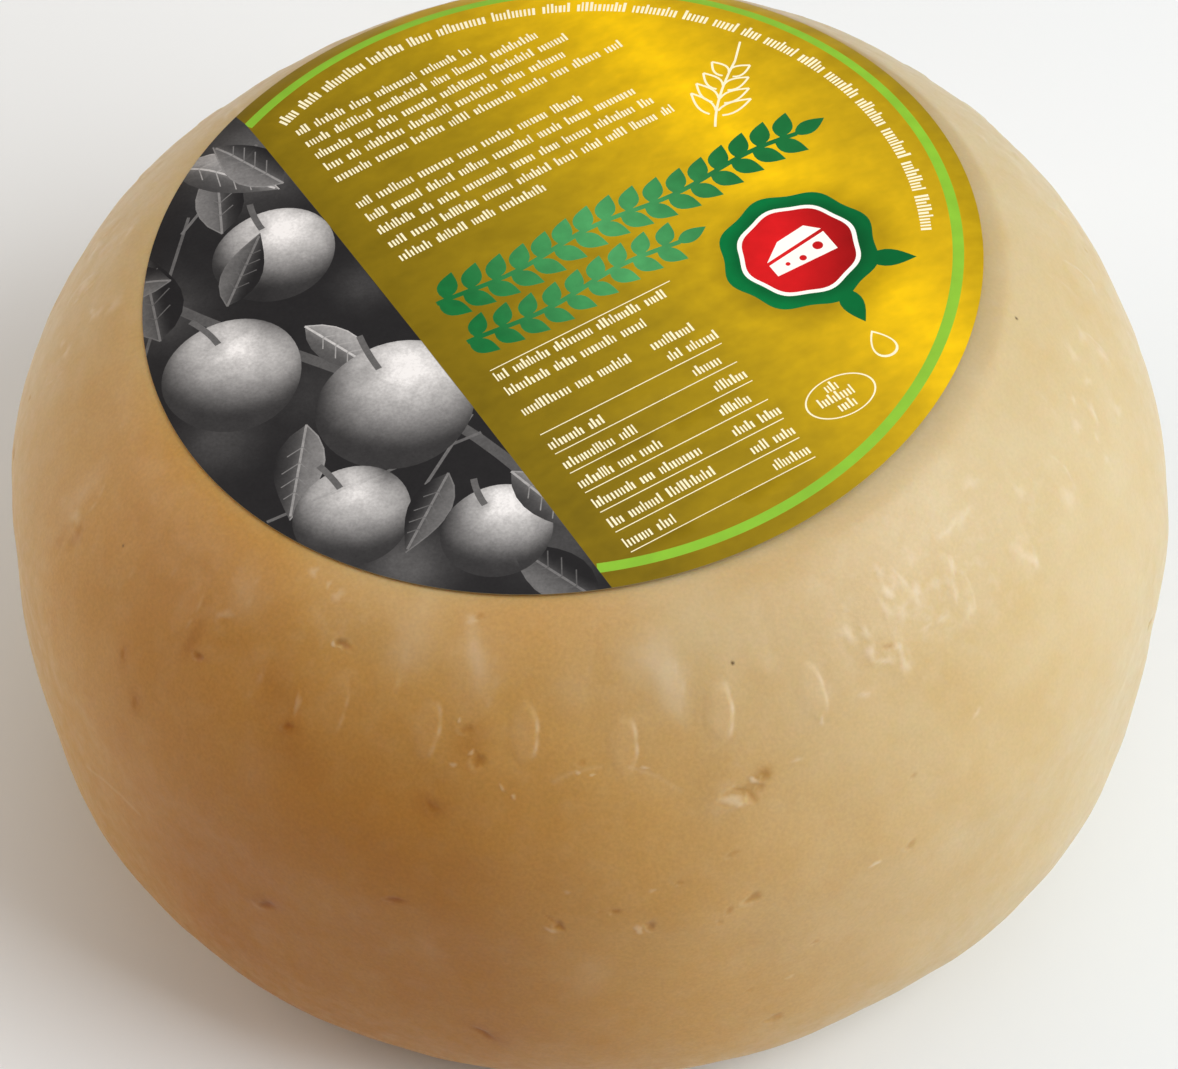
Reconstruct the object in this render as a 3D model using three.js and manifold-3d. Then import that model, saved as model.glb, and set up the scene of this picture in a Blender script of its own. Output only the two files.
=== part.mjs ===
// A whole cheese wheel with bulging sides and a round paper label on its top face.
// Millimetres, +Z up. The origin is on the resting face, below the middle of the wheel,
// and the front looks along -Y. Bearings run from +X towards +Y, in degrees.
import * as THREE from "three";
import { mergeVertices } from "three/addons/utils/BufferGeometryUtils.js";
import Module from "manifold-3d";

const wasm = await Module();
wasm.setup();

// The wheel's outline: an upper and a lower curve that meet at the equator
const WHEEL_RADIUS = 82.5;
const EQUATOR_HEIGHT = 52;
const SHOULDER_RISE = 61.9;
const SHOULDER_POWER = 1.8;
const BELLY_DROP = 54.8;
const BELLY_POWER = 4.3;

// The top face is a shallow dome, higher at the right and the back than at the left and the front
const FACE_RISE = 42.3;
const FACE_DOME_RADIUS = 990;
const FACE_SLANT_RIGHT = 0.087;
const FACE_SLANT_BACK = 0.032;
const FACE_BLEND = 3.3;
const SHOULDER_SLANT = 0.024;
const SLANT_FROM = 8.25;
const SLANT_TO = 37;
const BASE_BLEND = 1.5;

// The paper label, which curls up a little at its right edge
const LABEL_RADIUS = 57.5;
const LABEL_CENTRE = new THREE.Vector2(-3.9, 1.0);
const PAPER_THICKNESS = 0.25;
const PAPER_GAP = 0.3;
const CURL_HEIGHT = 0.5;
const CURL_BEARING = -20;
const CURL_POWER = 4;

// How finely the surfaces are divided
const WHEEL_SEGMENTS = 102;
const SIDE_RINGS = 25;
const FACE_RING_RADII = [54, 38, 20, 0];
const BASE_RING_RADII = [0, 24, 42];
const SIDE_TOP_RADIUS = 58;
const SIDE_BASE_RADIUS = 49;
const LABEL_SEGMENTS = 68;
const LABEL_RING_RADII = [20, 36, 47, 53];

// Broad swells and flats of the rind: where, how far out, and how far each spreads
const SWELLS = [
  { bearing: 11, height: 64, out: -0.3, spread: 11 },
  { bearing: 25, height: 75, out: 0.3, spread: 9 },
  { bearing: 149, height: 73, out: 0.4, spread: 9 },
  { bearing: 190, height: 53, out: -0.35, spread: 11 },
  { bearing: 200, height: 27, out: -0.6, spread: 13 },
  { bearing: 240, height: 14, out: 0.3, spread: 16 },
  { bearing: 300, height: 13, out: -0.65, spread: 15 },
  { bearing: 329, height: 20, out: 0.35, spread: 12 },
  { bearing: 349, height: 50, out: 0.35, spread: 8 },
];

// Gentle lumps left by the draining basket, scattered all over the side
const LUMP_COUNT = 130;
const LUMP_DEPTH = 0.28;
const LUMP_SPREAD = { least: 5, most: 11 };
const SEED = 41;

// The basket's slots leave a row of low upright ovals round the shoulder, which follows
// the slant of the top face
const SLOT_COUNT = 35;
const SLOT_FIRST_BEARING = 253;
const SLOT_ROW_HEIGHT = 79.5;
const SLOT_ROW_SLANT = 3.5;
const SLOT_SIZE = { wide: 3.6, tall: 8.2, proud: 0.35 };

// Hollows in the rind that show from a step away
const HOLLOWS = [
  { bearing: 285.8, height: 72.6, wide: 6.6, tall: 3.4, deep: 1.2, turn: 38 },
  { bearing: 241.5, height: 83.7, wide: 2.4, tall: 1.6, deep: 0.7, turn: 10 },
  { bearing: 258.9, height: 76.2, wide: 2.2, tall: 2.8, deep: 0.7, turn: 0 },
  { bearing: 254.8, height: 69.8, wide: 2.4, tall: 1.6, deep: 0.6, turn: 0 },
  { bearing: 238.4, height: 42.6, wide: 4, tall: 1.7, deep: 0.7, turn: 25 },
  { bearing: 267.3, height: 54.1, wide: 2.2, tall: 1.8, deep: 0.7, turn: -30 },
  { bearing: 275.4, height: 53.9, wide: 2.6, tall: 1.8, deep: 0.7, turn: 30 },
  { bearing: 285.2, height: 56.3, wide: 2.5, tall: 2, deep: 0.7, turn: 45 },
  { bearing: 259.9, height: 27.1, wide: 4.6, tall: 1.5, deep: 0.6, turn: -40 },
  { bearing: 288, height: 27, wide: 3.4, tall: 2.2, deep: 0.5, turn: 0 },
  { bearing: 301.2, height: 55.9, wide: 2.2, tall: 1.5, deep: 0.6, turn: 0 },
];
const FAR_HOLLOW_COUNT = 14;

function seededRandom(seed) {
  let state = seed;
  return (least = 0, most = 1) => {
    state = (state * 16807) % 2147483647;
    return least + ((most - least) * state) / 2147483647;
  };
}

function smoothStep(value, from, to) {
  const share = THREE.MathUtils.clamp((value - from) / (to - from), 0, 1);
  return share * share * (3 - 2 * share);
}

// The lesser of two heights, rounded off where they come within blend of each other
function roundedLesser(a, b, blend) {
  const close = Math.max(blend - Math.abs(a - b), 0);
  return Math.min(a, b) - (close * close) / (4 * blend);
}

// One height of the outline above or below the equator, for a distance from the axis
function outlineRise(radius, rise, power) {
  const share = Math.min(radius / WHEEL_RADIUS, 1);
  return rise * Math.pow(1 - Math.pow(share, power), 1 / power);
}

// The outline's outward direction: x away from the axis, y upwards
function outlineNormal(radius, z) {
  const power = z > 0 ? SHOULDER_POWER : BELLY_POWER;
  const rise = z > 0 ? SHOULDER_RISE : BELLY_DROP;
  const outward = Math.pow(Math.min(radius / WHEEL_RADIUS, 1), power - 1) / WHEEL_RADIUS;
  const upward = (Math.sign(z) * Math.pow(Math.min(Math.abs(z) / rise, 1), power - 1)) / rise;
  return new THREE.Vector2(outward, upward).normalize();
}

// A rise above the equator becomes a height above the resting face, with the upper half
// slanted, the top face pressed into its dome and the base pressed flat
function pressedHeight(x, y, z) {
  const slanted = z + SHOULDER_SLANT * x * smoothStep(z, SLANT_FROM, SLANT_TO);
  const dome = (x * x + y * y) / (2 * FACE_DOME_RADIUS);
  const face = FACE_RISE + FACE_SLANT_RIGHT * x + FACE_SLANT_BACK * y - dome;
  const top = z > SLANT_FROM ? roundedLesser(slanted, face, FACE_BLEND) : slanted;
  return -roundedLesser(-top - EQUATOR_HEIGHT, 0, BASE_BLEND);
}

// A point on the smooth outline, at a bearing and a height above the resting face
function outlinePoint(bearing, height) {
  const angle = THREE.MathUtils.degToRad(bearing);
  let z = height - EQUATOR_HEIGHT;
  let radius = WHEEL_RADIUS;
  for (let step = 0; step < 12; step += 1) {
    const power = z > 0 ? SHOULDER_POWER : BELLY_POWER;
    const rise = z > 0 ? SHOULDER_RISE : BELLY_DROP;
    const share = Math.min(Math.abs(z) / rise, 1);
    radius = WHEEL_RADIUS * Math.pow(1 - Math.pow(share, power), 1 / power);
    const pressed = pressedHeight(radius * Math.cos(angle), radius * Math.sin(angle), z);
    z += (height - pressed) / 2;
  }
  const normal = outlineNormal(radius, z);
  return {
    point: new THREE.Vector3(radius * Math.cos(angle), radius * Math.sin(angle), height),
    outward: new THREE.Vector3(
      normal.x * Math.cos(angle),
      normal.x * Math.sin(angle),
      normal.y,
    ),
  };
}

// Every swell and lump as a centre on the outline, a reach outward and a spread
function reliefPatches() {
  const random = seededRandom(SEED);
  const patches = SWELLS.map(({ bearing, height, out, spread }) => ({
    centre: outlinePoint(bearing, height).point,
    out,
    spread,
  }));
  for (let i = 0; i < LUMP_COUNT; i += 1) {
    const bearing = random(0, 360);
    const height = random(6, 88);
    patches.push({
      centre: outlinePoint(bearing, height).point,
      out: random(-LUMP_DEPTH, LUMP_DEPTH),
      spread: random(LUMP_SPREAD.least, LUMP_SPREAD.most),
    });
  }
  return patches;
}

function reliefAt(point, patches) {
  let out = 0;
  for (const patch of patches) {
    out += patch.out * Math.exp(-point.distanceToSquared(patch.centre) / patch.spread ** 2);
  }
  return out;
}

// Rings of the outline from the middle of the base, up the side, to the middle of the top
function wheelOutline() {
  const curve = new THREE.SplineCurve();
  const belly = Math.asin(outlineRise(SIDE_BASE_RADIUS, 1, BELLY_POWER));
  const shoulder = Math.asin(outlineRise(SIDE_TOP_RADIUS, 1, SHOULDER_POWER));
  const steps = 60;
  for (let i = 0; i <= steps; i += 1) {
    const z = -BELLY_DROP * Math.sin(belly * (1 - i / steps));
    const share = Math.pow(-z / BELLY_DROP, BELLY_POWER);
    curve.points.push(
      new THREE.Vector2(WHEEL_RADIUS * Math.pow(1 - share, 1 / BELLY_POWER), z),
    );
  }
  for (let i = 1; i <= steps; i += 1) {
    const z = SHOULDER_RISE * Math.sin((shoulder * i) / steps);
    const share = Math.pow(z / SHOULDER_RISE, SHOULDER_POWER);
    curve.points.push(
      new THREE.Vector2(WHEEL_RADIUS * Math.pow(1 - share, 1 / SHOULDER_POWER), z),
    );
  }
  return [
    ...BASE_RING_RADII.map(
      (r) => new THREE.Vector2(r, -outlineRise(r, BELLY_DROP, BELLY_POWER)),
    ),
    ...curve.getSpacedPoints(SIDE_RINGS),
    ...FACE_RING_RADII.map(
      (r) => new THREE.Vector2(r, outlineRise(r, SHOULDER_RISE, SHOULDER_POWER)),
    ),
  ];
}

// A turned shape about +Z, closed and with its shared points merged
function turned(profile, segments) {
  const lathe = new THREE.LatheGeometry(profile, segments);
  lathe.deleteAttribute("normal");
  lathe.deleteAttribute("uv");
  lathe.rotateX(Math.PI / 2);
  return mergeVertices(lathe, 1e-3);
}

function reshape(geometry, move) {
  const positions = geometry.getAttribute("position");
  const point = new THREE.Vector3();
  for (let i = 0; i < positions.count; i += 1) {
    move(point.fromBufferAttribute(positions, i));
    positions.setXYZ(i, point.x, point.y, point.z);
  }
  return geometry;
}

// The turned outline with its relief, which fades out under the label and on the base
function wheelBody(patches) {
  const raised = new THREE.Vector3();
  return reshape(turned(wheelOutline(), WHEEL_SEGMENTS), (point) => {
    const radius = Math.hypot(point.x, point.y);
    const fade =
      point.z > 0
        ? smoothStep(radius, LABEL_RADIUS + 3, LABEL_RADIUS + 9)
        : smoothStep(radius, SIDE_BASE_RADIUS, SIDE_BASE_RADIUS + 10);
    if (fade > 0) {
      raised.set(point.x, point.y, point.z + EQUATOR_HEIGHT);
      const out = reliefAt(raised, patches) * fade;
      const normal = outlineNormal(radius, point.z);
      point.x *= 1 + (normal.x * out) / radius;
      point.y *= 1 + (normal.x * out) / radius;
      point.z += normal.y * out;
    }
    point.z = pressedHeight(point.x, point.y, point.z);
  });
}

function solidOf(geometry) {
  return new wasm.Manifold(
    new wasm.Mesh({
      numProp: 3,
      vertProperties: geometry.getAttribute("position").array,
      triVerts: new Uint32Array(geometry.index.array),
    }),
  );
}

function geometryOf(solid) {
  const { numProp, vertProperties, triVerts } = solid.getMesh();
  const positions = new THREE.InterleavedBuffer(vertProperties, numProp);
  const geometry = new THREE.BufferGeometry();
  geometry.setAttribute("position", new THREE.InterleavedBufferAttribute(positions, 3, 0));
  geometry.setIndex(new THREE.BufferAttribute(triVerts, 1));
  return geometry;
}

// An ellipsoid whose middle is off the rind by as much as it reaches through it, so that its
// outline on the rind has the given size: out is above 0 for a hollow and below 0 for a bump
function rindEllipsoid({ bearing, height, wide, tall, out, turn }, patches) {
  const { point, outward } = outlinePoint(bearing, height);
  const angle = THREE.MathUtils.degToRad(bearing);
  const across = new THREE.Vector3(-Math.sin(angle), Math.cos(angle), 0);
  const upward = new THREE.Vector3().crossVectors(outward, across);
  const widening = 2 / Math.sqrt(3);
  const ellipsoid = new THREE.SphereGeometry(1, 8, 6);
  ellipsoid.deleteAttribute("normal");
  ellipsoid.deleteAttribute("uv");
  ellipsoid.scale((widening * wide) / 2, (widening * tall) / 2, 2 * Math.abs(out));
  ellipsoid.rotateZ(THREE.MathUtils.degToRad(turn));
  const middle = point.clone().addScaledVector(outward, reliefAt(point, patches) + out);
  ellipsoid.applyMatrix4(
    new THREE.Matrix4().makeBasis(across, upward, outward).setPosition(middle),
  );
  return solidOf(mergeVertices(ellipsoid, 1e-4));
}

function slotBumps() {
  return Array.from({ length: SLOT_COUNT }, (_, i) => {
    const bearing = SLOT_FIRST_BEARING + (360 * i) / SLOT_COUNT;
    const slant = SLOT_ROW_SLANT * Math.cos(THREE.MathUtils.degToRad(bearing));
    return {
      bearing,
      height: SLOT_ROW_HEIGHT + slant + Math.sin(2.4 * i),
      wide: SLOT_SIZE.wide,
      tall: SLOT_SIZE.tall,
      out: -SLOT_SIZE.proud,
      turn: 4 * Math.sin(1.7 * i),
    };
  });
}

// More hollows like the shown ones, round the rest of the side
function farHollows() {
  const random = seededRandom(SEED + 1);
  return Array.from({ length: FAR_HOLLOW_COUNT }, (_, i) => ({
    bearing: -45 + (250 * (i + random(0, 0.7))) / FAR_HOLLOW_COUNT,
    height: random(22, 72),
    wide: random(2.2, 4.4),
    tall: random(1.5, 2.4),
    deep: random(0.5, 0.8),
    turn: random(-50, 50),
  }));
}

function cheeseGeometry() {
  const patches = reliefPatches();
  let body = solidOf(wheelBody(patches));
  for (const bump of slotBumps()) {
    body = body.add(rindEllipsoid(bump, patches));
  }
  for (const hollow of [...HOLLOWS, ...farHollows()]) {
    body = body.subtract(rindEllipsoid({ ...hollow, out: hollow.deep }, patches));
  }
  return geometryOf(body);
}

// The paper lies on the pressed top face and lifts off it towards its curled edge
function paperLift(x, y) {
  const bearing = Math.atan2(y, x) - THREE.MathUtils.degToRad(CURL_BEARING);
  const share = Math.hypot(x, y) / LABEL_RADIUS;
  return (CURL_HEIGHT * Math.pow(share, CURL_POWER) * (1 + Math.cos(bearing))) / 2;
}

function labelGeometry() {
  const rings = [...LABEL_RING_RADII, LABEL_RADIUS];
  const profile = [
    new THREE.Vector2(0, 0),
    ...rings.map((r) => new THREE.Vector2(r, 0)),
    ...rings.toReversed().map((r) => new THREE.Vector2(r, PAPER_THICKNESS)),
    new THREE.Vector2(0, PAPER_THICKNESS),
  ];
  return reshape(turned(profile, LABEL_SEGMENTS), (point) => {
    const lift = paperLift(point.x, point.y);
    point.x += LABEL_CENTRE.x;
    point.y += LABEL_CENTRE.y;
    const radius = Math.hypot(point.x, point.y);
    const rise = outlineRise(radius, SHOULDER_RISE, SHOULDER_POWER);
    point.z += pressedHeight(point.x, point.y, rise) + PAPER_GAP + lift;
  });
}

function namedMesh(name, geometry, { color, roughness }) {
  const material = new THREE.MeshStandardMaterial({ color, roughness, metalness: 0 });
  const mesh = new THREE.Mesh(geometry, material);
  mesh.name = name;
  return mesh;
}

const wheel = new THREE.Group();
const cheese = namedMesh("cheese", cheeseGeometry(), { color: 0xcfae7a, roughness: 0.38 });
const label = namedMesh("label", labelGeometry(), { color: 0xb08f14, roughness: 0.32 });
wheel.add(cheese, label);

// The relief moves the middle of the outline a little, so both pieces move back over the origin
const middle = new THREE.Box3().setFromObject(cheese).getCenter(new THREE.Vector3());
for (const piece of wheel.children) {
  piece.geometry.translate(-middle.x, -middle.y, 0);
}

export default wheel;
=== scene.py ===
# A whole cheese wheel with a round printed label on its top face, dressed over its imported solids.
# Metres, +Z up. Bearings run from +X towards +Y in degrees, and the front looks along -Y.
import math

import bmesh
import bpy
import numpy as np
from bpy.props import FloatProperty, FloatVectorProperty, PointerProperty
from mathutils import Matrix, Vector, noise
from mathutils.geometry import delaunay_2d_cdt


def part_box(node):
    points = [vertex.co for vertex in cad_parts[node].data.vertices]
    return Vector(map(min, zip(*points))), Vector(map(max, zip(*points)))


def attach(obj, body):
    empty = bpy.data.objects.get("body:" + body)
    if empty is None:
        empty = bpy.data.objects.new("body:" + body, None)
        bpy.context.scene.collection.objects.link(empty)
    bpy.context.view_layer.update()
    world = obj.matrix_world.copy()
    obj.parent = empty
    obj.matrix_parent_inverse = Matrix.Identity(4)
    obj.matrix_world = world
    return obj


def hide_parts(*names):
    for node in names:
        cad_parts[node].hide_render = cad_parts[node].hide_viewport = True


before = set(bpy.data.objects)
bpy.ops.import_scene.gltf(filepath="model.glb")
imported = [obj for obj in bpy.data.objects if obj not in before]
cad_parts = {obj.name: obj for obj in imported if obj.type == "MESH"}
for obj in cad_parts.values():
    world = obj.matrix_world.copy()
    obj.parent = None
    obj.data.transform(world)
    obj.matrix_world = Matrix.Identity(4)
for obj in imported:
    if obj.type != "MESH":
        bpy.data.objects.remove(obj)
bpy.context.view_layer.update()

bl_info = {
    "name": "Cheese wheel",
    "version": (1, 0, 0),
    "blender": (4, 5, 0),
    "location": "View3D > Sidebar > Cheese wheel",
    "description": "Makes a whole cheese wheel with a translucent rind and a printed round label",
    "category": "Add Mesh",
}

MM = 0.001
LABEL_LOW, LABEL_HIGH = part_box("label")

# The wheel's outline: an upper and a lower curve that meet at the equator
WHEEL_RADIUS = 82.5 * MM
EQUATOR_HEIGHT = 52 * MM
SHOULDER_RISE = 61.9 * MM
SHOULDER_POWER = 1.8
BELLY_DROP = 54.8 * MM
BELLY_POWER = 4.3

# The top face is a shallow dome, higher at the right and the back than at the left and the front
FACE_RISE = 42.3 * MM
FACE_DOME_RADIUS = 990 * MM
FACE_SLANT_RIGHT = 0.087
FACE_SLANT_BACK = 0.032
FACE_BLEND = 3.3 * MM
SHOULDER_SLANT = 0.024
SLANT_FROM = 8.25 * MM
SLANT_TO = 37 * MM
BASE_BLEND = 1.5 * MM

# The label lies beside the wheel's axis, and its place in the frame gives the axis
LABEL_RADIUS = (LABEL_HIGH.x - LABEL_LOW.x) / 2
LABEL_OFFSET = (-3.9 * MM, 1.0 * MM)
AXIS_X = (LABEL_HIGH.x + LABEL_LOW.x) / 2 - LABEL_OFFSET[0]
AXIS_Y = (LABEL_HIGH.y + LABEL_LOW.y) / 2 - LABEL_OFFSET[1]

# The relief fades out under the label and on the base
TOP_FADE = (LABEL_RADIUS + 3 * MM, LABEL_RADIUS + 9 * MM)
BASE_FADE = (49 * MM, 59 * MM)

# Broad swells and flats of the rind: bearing, height, how far out, how far each spreads, in mm
SWELLS = [
    (11, 64, -0.3, 11),
    (25, 75, 0.3, 9),
    (149, 73, 0.4, 9),
    (190, 53, -0.35, 11),
    (200, 27, -0.6, 13),
    (240, 14, 0.3, 16),
    (300, 13, -0.65, 15),
    (329, 20, 0.35, 12),
    (349, 50, 0.35, 8),
]

# Gentle lumps left by the draining basket, and finer waves between them
LUMP_COUNT = 130
LUMP_OUT = 0.28
LUMP_SPREAD = (5, 11)
SEED = 41

# The basket's slots leave a row of low upright ovals round the shoulder: how clear each is,
# repeated round the wheel, for the row itself and for the fainter row above it
SLOT_COUNT = 35
SLOT_FIRST_BEARING = 253
SLOT_ROW_HEIGHT = 79.5
SLOT_ROW_SLANT = 3.5
SLOT_WIDE = 3.6
SLOT_TALL = 8.2
SLOT_CLEARNESS = [0.85, 1.0, 0.9, 0.9, 0.6, 0.35, 0.5, 0.3, 0.6, 0.4, 0.5, 0.7]
UPPER_ROW_RISE = 5.5
UPPER_ROW_CLEARNESS = [0.35, 0.15, 0.45, 0.25, 0.0, 0.2, 0.1, 0.3]

# The raised lip of a dent lies at its lower left, where it faces the light, and is painted pale there as a highlight
LIT_LIP_DIRECTION = math.radians(-140)

# Soft dents where the rind has opened: bearing, height, width, height across, depth, turn,
# brownness
PITS = [
    (285.6, 72.3, 7.4, 3.4, 0.45, 36, 0.3),
    (287.6, 73.2, 2.2, 1.5, 0.25, 10, 0.4),
    (285.9, 70.9, 1.6, 2.3, 0.3, 10, 0.4),
    (286.9, 72.0, 2.2, 0.9, 0.15, 35, 0.25),
    (284.8, 72.1, 2.6, 0.8, 0.12, -20, 0.2),
    (241.5, 83.7, 2.4, 1.6, 0.45, 10, 0.75),
    (257.3, 79.3, 2.0, 1.8, 0.25, -35, 0.4),
    (258.9, 76.2, 2.0, 2.7, 0.35, 0, 0.6),
    (254.8, 69.8, 2.4, 1.6, 0.2, 0, 0.25),
    (238.4, 42.6, 4.0, 1.7, 0.45, 25, 0.5),
    (267.3, 54.1, 2.6, 1.5, 0.45, -40, 0.75),
    (275.6, 54.0, 2.0, 1.9, 0.4, 30, 0.65),
    (285.2, 56.3, 2.5, 2.0, 0.4, 45, 0.6),
    (259.9, 27.1, 4.6, 1.5, 0.4, -40, 0.5),
    (288.0, 27.0, 3.4, 2.2, 0.35, 0, 0.3),
    (301.2, 55.9, 2.2, 1.5, 0.4, 0, 0.4),
    (226.1, 74.7, 2.0, 1.2, 0.3, -10, 0.7),
    (238.5, 73.3, 1.8, 1.1, 0.25, 10, 0.5),
    (256.6, 89.0, 1.5, 1.1, 0.2, 0, 0.5),
    (269.3, 76.9, 1.5, 1.0, 0.15, 0, 0.35),
    (266.4, 55.4, 1.8, 0.7, 0.25, -35, 0.6),
    (272.4, 56.9, 1.7, 1.4, 0.3, 0, 0.75),
    (271.1, 56.9, 1.2, 0.5, 0.15, 0, 0.7),
    (278.3, 60.9, 0.9, 0.9, 0.2, 0, 0.6),
    (283.5, 64.1, 1.9, 0.9, 0.2, 5, 0.55),
    (282.9, 55.0, 1.6, 1.0, 0.25, 55, 0.65),
    (282.0, 53.0, 1.4, 0.9, 0.2, 60, 0.4),
    (303.7, 82.1, 1.6, 1.2, 0.2, 0, 0.5),
    (302.6, 66.2, 1.2, 0.9, 0.2, 0, 0.5),
    (291.5, 43.1, 1.4, 0.9, 0.2, 20, 0.5),
    (285.2, 35.7, 1.2, 0.8, 0.2, 40, 0.4),
    (217.2, 68.0, 1.4, 2.0, 0.2, 0, 0.2),
    (220.7, 63.7, 1.4, 2.4, 0.2, 20, 0.2),
    (252.0, 54.6, 2.6, 1.1, 0.3, 0, 0.7),
]

# Torn flaps of rind at the lower left of the pits, raised a little and painted pale as a highlight where
# they face the light: bearing, height, width, height across, how proud, turn
FLAPS = [
    (284.0, 71.0, 3.2, 2.1, 0.16, -22),
    (286.3, 72.9, 1.6, 0.8, 0.1, -25),
    (274.5, 53.4, 1.4, 2.0, 0.12, 10),
    (266.5, 53.2, 2.0, 0.9, 0.1, -25),
    (297.4, 55.4, 1.8, 0.9, 0.12, 15),
    (258.0, 76.9, 0.6, 1.1, 0.12, -20),
    (256.3, 80.0, 0.5, 0.7, 0.1, 0),
    (240.4, 83.3, 0.5, 1.0, 0.05, 20),
    (268.9, 75.8, 1.0, 0.5, 0.07, -20),
    (270.3, 75.6, 0.9, 0.5, 0.08, 0),
    (275.6, 76.2, 1.6, 0.4, 0.06, -15),
    (261.4, 73.5, 0.5, 1.2, 0.12, 25),
    (262.6, 72.6, 0.7, 0.8, 0.14, 30),
    (256.3, 75.2, 1.4, 0.6, 0.08, 0),
]

# Small blisters and wrinkles, painted pale as a glossy highlight: bearing, height, width, height across, how proud,
# turn
BLISTERS = [
    (324.5, 81.1, 1.7, 4.4, 0.16, 28),
    (325.5, 79.3, 1.2, 2.2, 0.12, 20),
    (334.4, 80.6, 1.5, 4.0, 0.15, 24),
    (329.0, 86.0, 1.2, 2.4, 0.08, 10),
    (323.9, 90.3, 2.2, 1.6, 0.1, 0),
    (320.2, 88.6, 2.6, 1.3, 0.1, 0),
    (317.2, 88.5, 2.6, 1.0, 0.1, 10),
    (315.2, 85.4, 0.8, 2.6, 0.12, -18),
    (314.0, 83.0, 0.8, 2.2, 0.08, -12),
    (314.7, 80.5, 1.7, 1.7, 0.14, 0),
    (308.5, 87.0, 0.9, 2.4, 0.12, 20),
    (309.3, 85.4, 1.4, 2.2, 0.14, 15),
    (306.4, 89.0, 1.1, 1.6, 0.08, 10),
    (306.1, 87.0, 1.2, 2.0, 0.1, 10),
    (305.2, 85.5, 1.2, 2.6, 0.14, -5),
    (307.0, 84.7, 1.9, 1.4, 0.13, 0),
    (311.4, 81.6, 1.8, 0.9, 0.08, 0),
    (308.9, 81.8, 1.4, 0.6, 0.08, 0),
    (299.9, 84.9, 1.4, 2.2, 0.16, 15),
    (301.9, 84.4, 0.9, 1.9, 0.1, 30),
    (301.6, 82.2, 1.1, 1.9, 0.12, 30),
    (302.8, 80.9, 1.9, 0.8, 0.12, -25),
    (304.9, 81.4, 1.0, 1.3, 0.13, -15),
    (304.9, 79.6, 1.0, 2.6, 0.1, -15),
    (299.6, 78.4, 1.9, 0.6, 0.1, -15),
    (294.3, 77.4, 0.6, 1.0, 0.1, 0),
    (311.1, 69.3, 1.4, 0.6, 0.1, 35),
    (291.0, 74.0, 1.1, 0.6, 0.1, 0),
    (234.2, 87.4, 0.8, 1.6, 0.1, 20),
    (238.6, 87.0, 1.1, 1.6, 0.1, 10),
    (236.8, 87.3, 0.6, 0.9, 0.08, 0),
    (255.6, 88.7, 1.3, 1.0, 0.12, 0),
    (238.8, 76.2, 0.7, 2.2, 0.2, 15),
    (201.7, 73.3, 1.6, 2.4, 0.1, 0),
    (226.9, 80.3, 2.0, 1.2, 0.08, 30),
    (289.2, 36.5, 1.0, 0.6, 0.1, 0),
    (275.8, 60.1, 0.9, 0.5, 0.1, 0),
    (268.0, 60.0, 0.8, 0.5, 0.08, 0),
]

# Areas where the skin is finely crinkled, with a stronger fine bump and a pale painted sheen: bearing, height,
# spread in mm, how strong
CRINKLES_AND_SHEEN = [
    (305, 84, 8, 1.0),
    (315, 85, 9, 0.9),
    (325, 82, 8, 0.6),
    (333, 83, 6, 0.4),
    (284, 72, 4, 0.4),
    (240, 85, 6, 0.5),
    (203, 74, 7, 0.5),
    (228, 80, 6, 0.4),
    (20, 82, 8, 0.7),
    (70, 78, 9, 0.7),
    (118, 82, 8, 0.8),
    (160, 80, 8, 0.6),
]

# Milky haze in the skin: bearing, height, width, height across, turn, how strong
HAZES = [
    (249.5, 86.2, 8, 11, 0, 0.2),
    (257.0, 86.4, 3, 10, 25, 0.3),
    (257.5, 85.0, 9, 13, 0, 0.12),
    (276.5, 87.4, 9, 8, 0, 0.2),
    (279.0, 84.6, 5, 12, 6, 0.3),
    (268.5, 84.0, 7, 7, 10, 0.08),
    (228.5, 83.0, 6, 8, 20, 0.16),
    (236.0, 66.0, 8, 10, 0, 0.1),
    (200.0, 74.5, 5, 14, 0, 0.2),
    (255.0, 46.0, 5, 12, 10, 0.12),
    (270.0, 42.0, 6, 14, -10, 0.12),
    (60.0, 84.0, 10, 9, 0, 0.14),
    (140.0, 82.0, 9, 8, 0, 0.14),
]

# Soft stains of orange brown: bearing, height, width, height across, turn, how strong
RUSTS = [
    (217.2, 67.6, 2.6, 4.0, 0, 0.4),
    (220.6, 63.6, 2.4, 4.4, 24, 0.4),
    (224.6, 76.0, 2.6, 6.5, -6, 0.5),
    (226.1, 74.7, 3.0, 2.2, 0, 0.4),
    (203.6, 72.2, 1.8, 5.0, 0, 0.6),
    (201.6, 69.4, 1.4, 3.0, 0, 0.4),
    (236.5, 76.0, 9.0, 9.0, 0, 0.35),
    (240.0, 70.5, 9.0, 8.0, 0, 0.3),
    (238.6, 73.2, 3.4, 2.4, 10, 0.5),
    (254.6, 69.8, 5.0, 3.0, 0, 0.4),
    (258.0, 78.0, 5.0, 6.5, 0, 0.4),
    (287.4, 73.4, 3.6, 2.8, 35, 0.3),
    (238.0, 42.8, 7.5, 2.8, 20, 0.4),
    (252.0, 54.4, 4.0, 2.0, 0, 0.4),
    (260.4, 27.0, 8.0, 3.4, -35, 0.5),
    (299.0, 38.0, 44.0, 30.0, 0, 0.14),
    (120.0, 60.0, 8.0, 6.0, 20, 0.4),
    (82.0, 44.0, 7.0, 9.0, 0, 0.35),
    (165.0, 66.0, 5.0, 7.0, -20, 0.4),
]

# Dark specks: bearing, height, width
SPECKS = [
    (286.2, 85.6, 0.6),
    (210.2, 77.2, 0.45),
    (342.7, 95.0, 0.6),
    (350.3, 93.6, 0.6),
]

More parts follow.
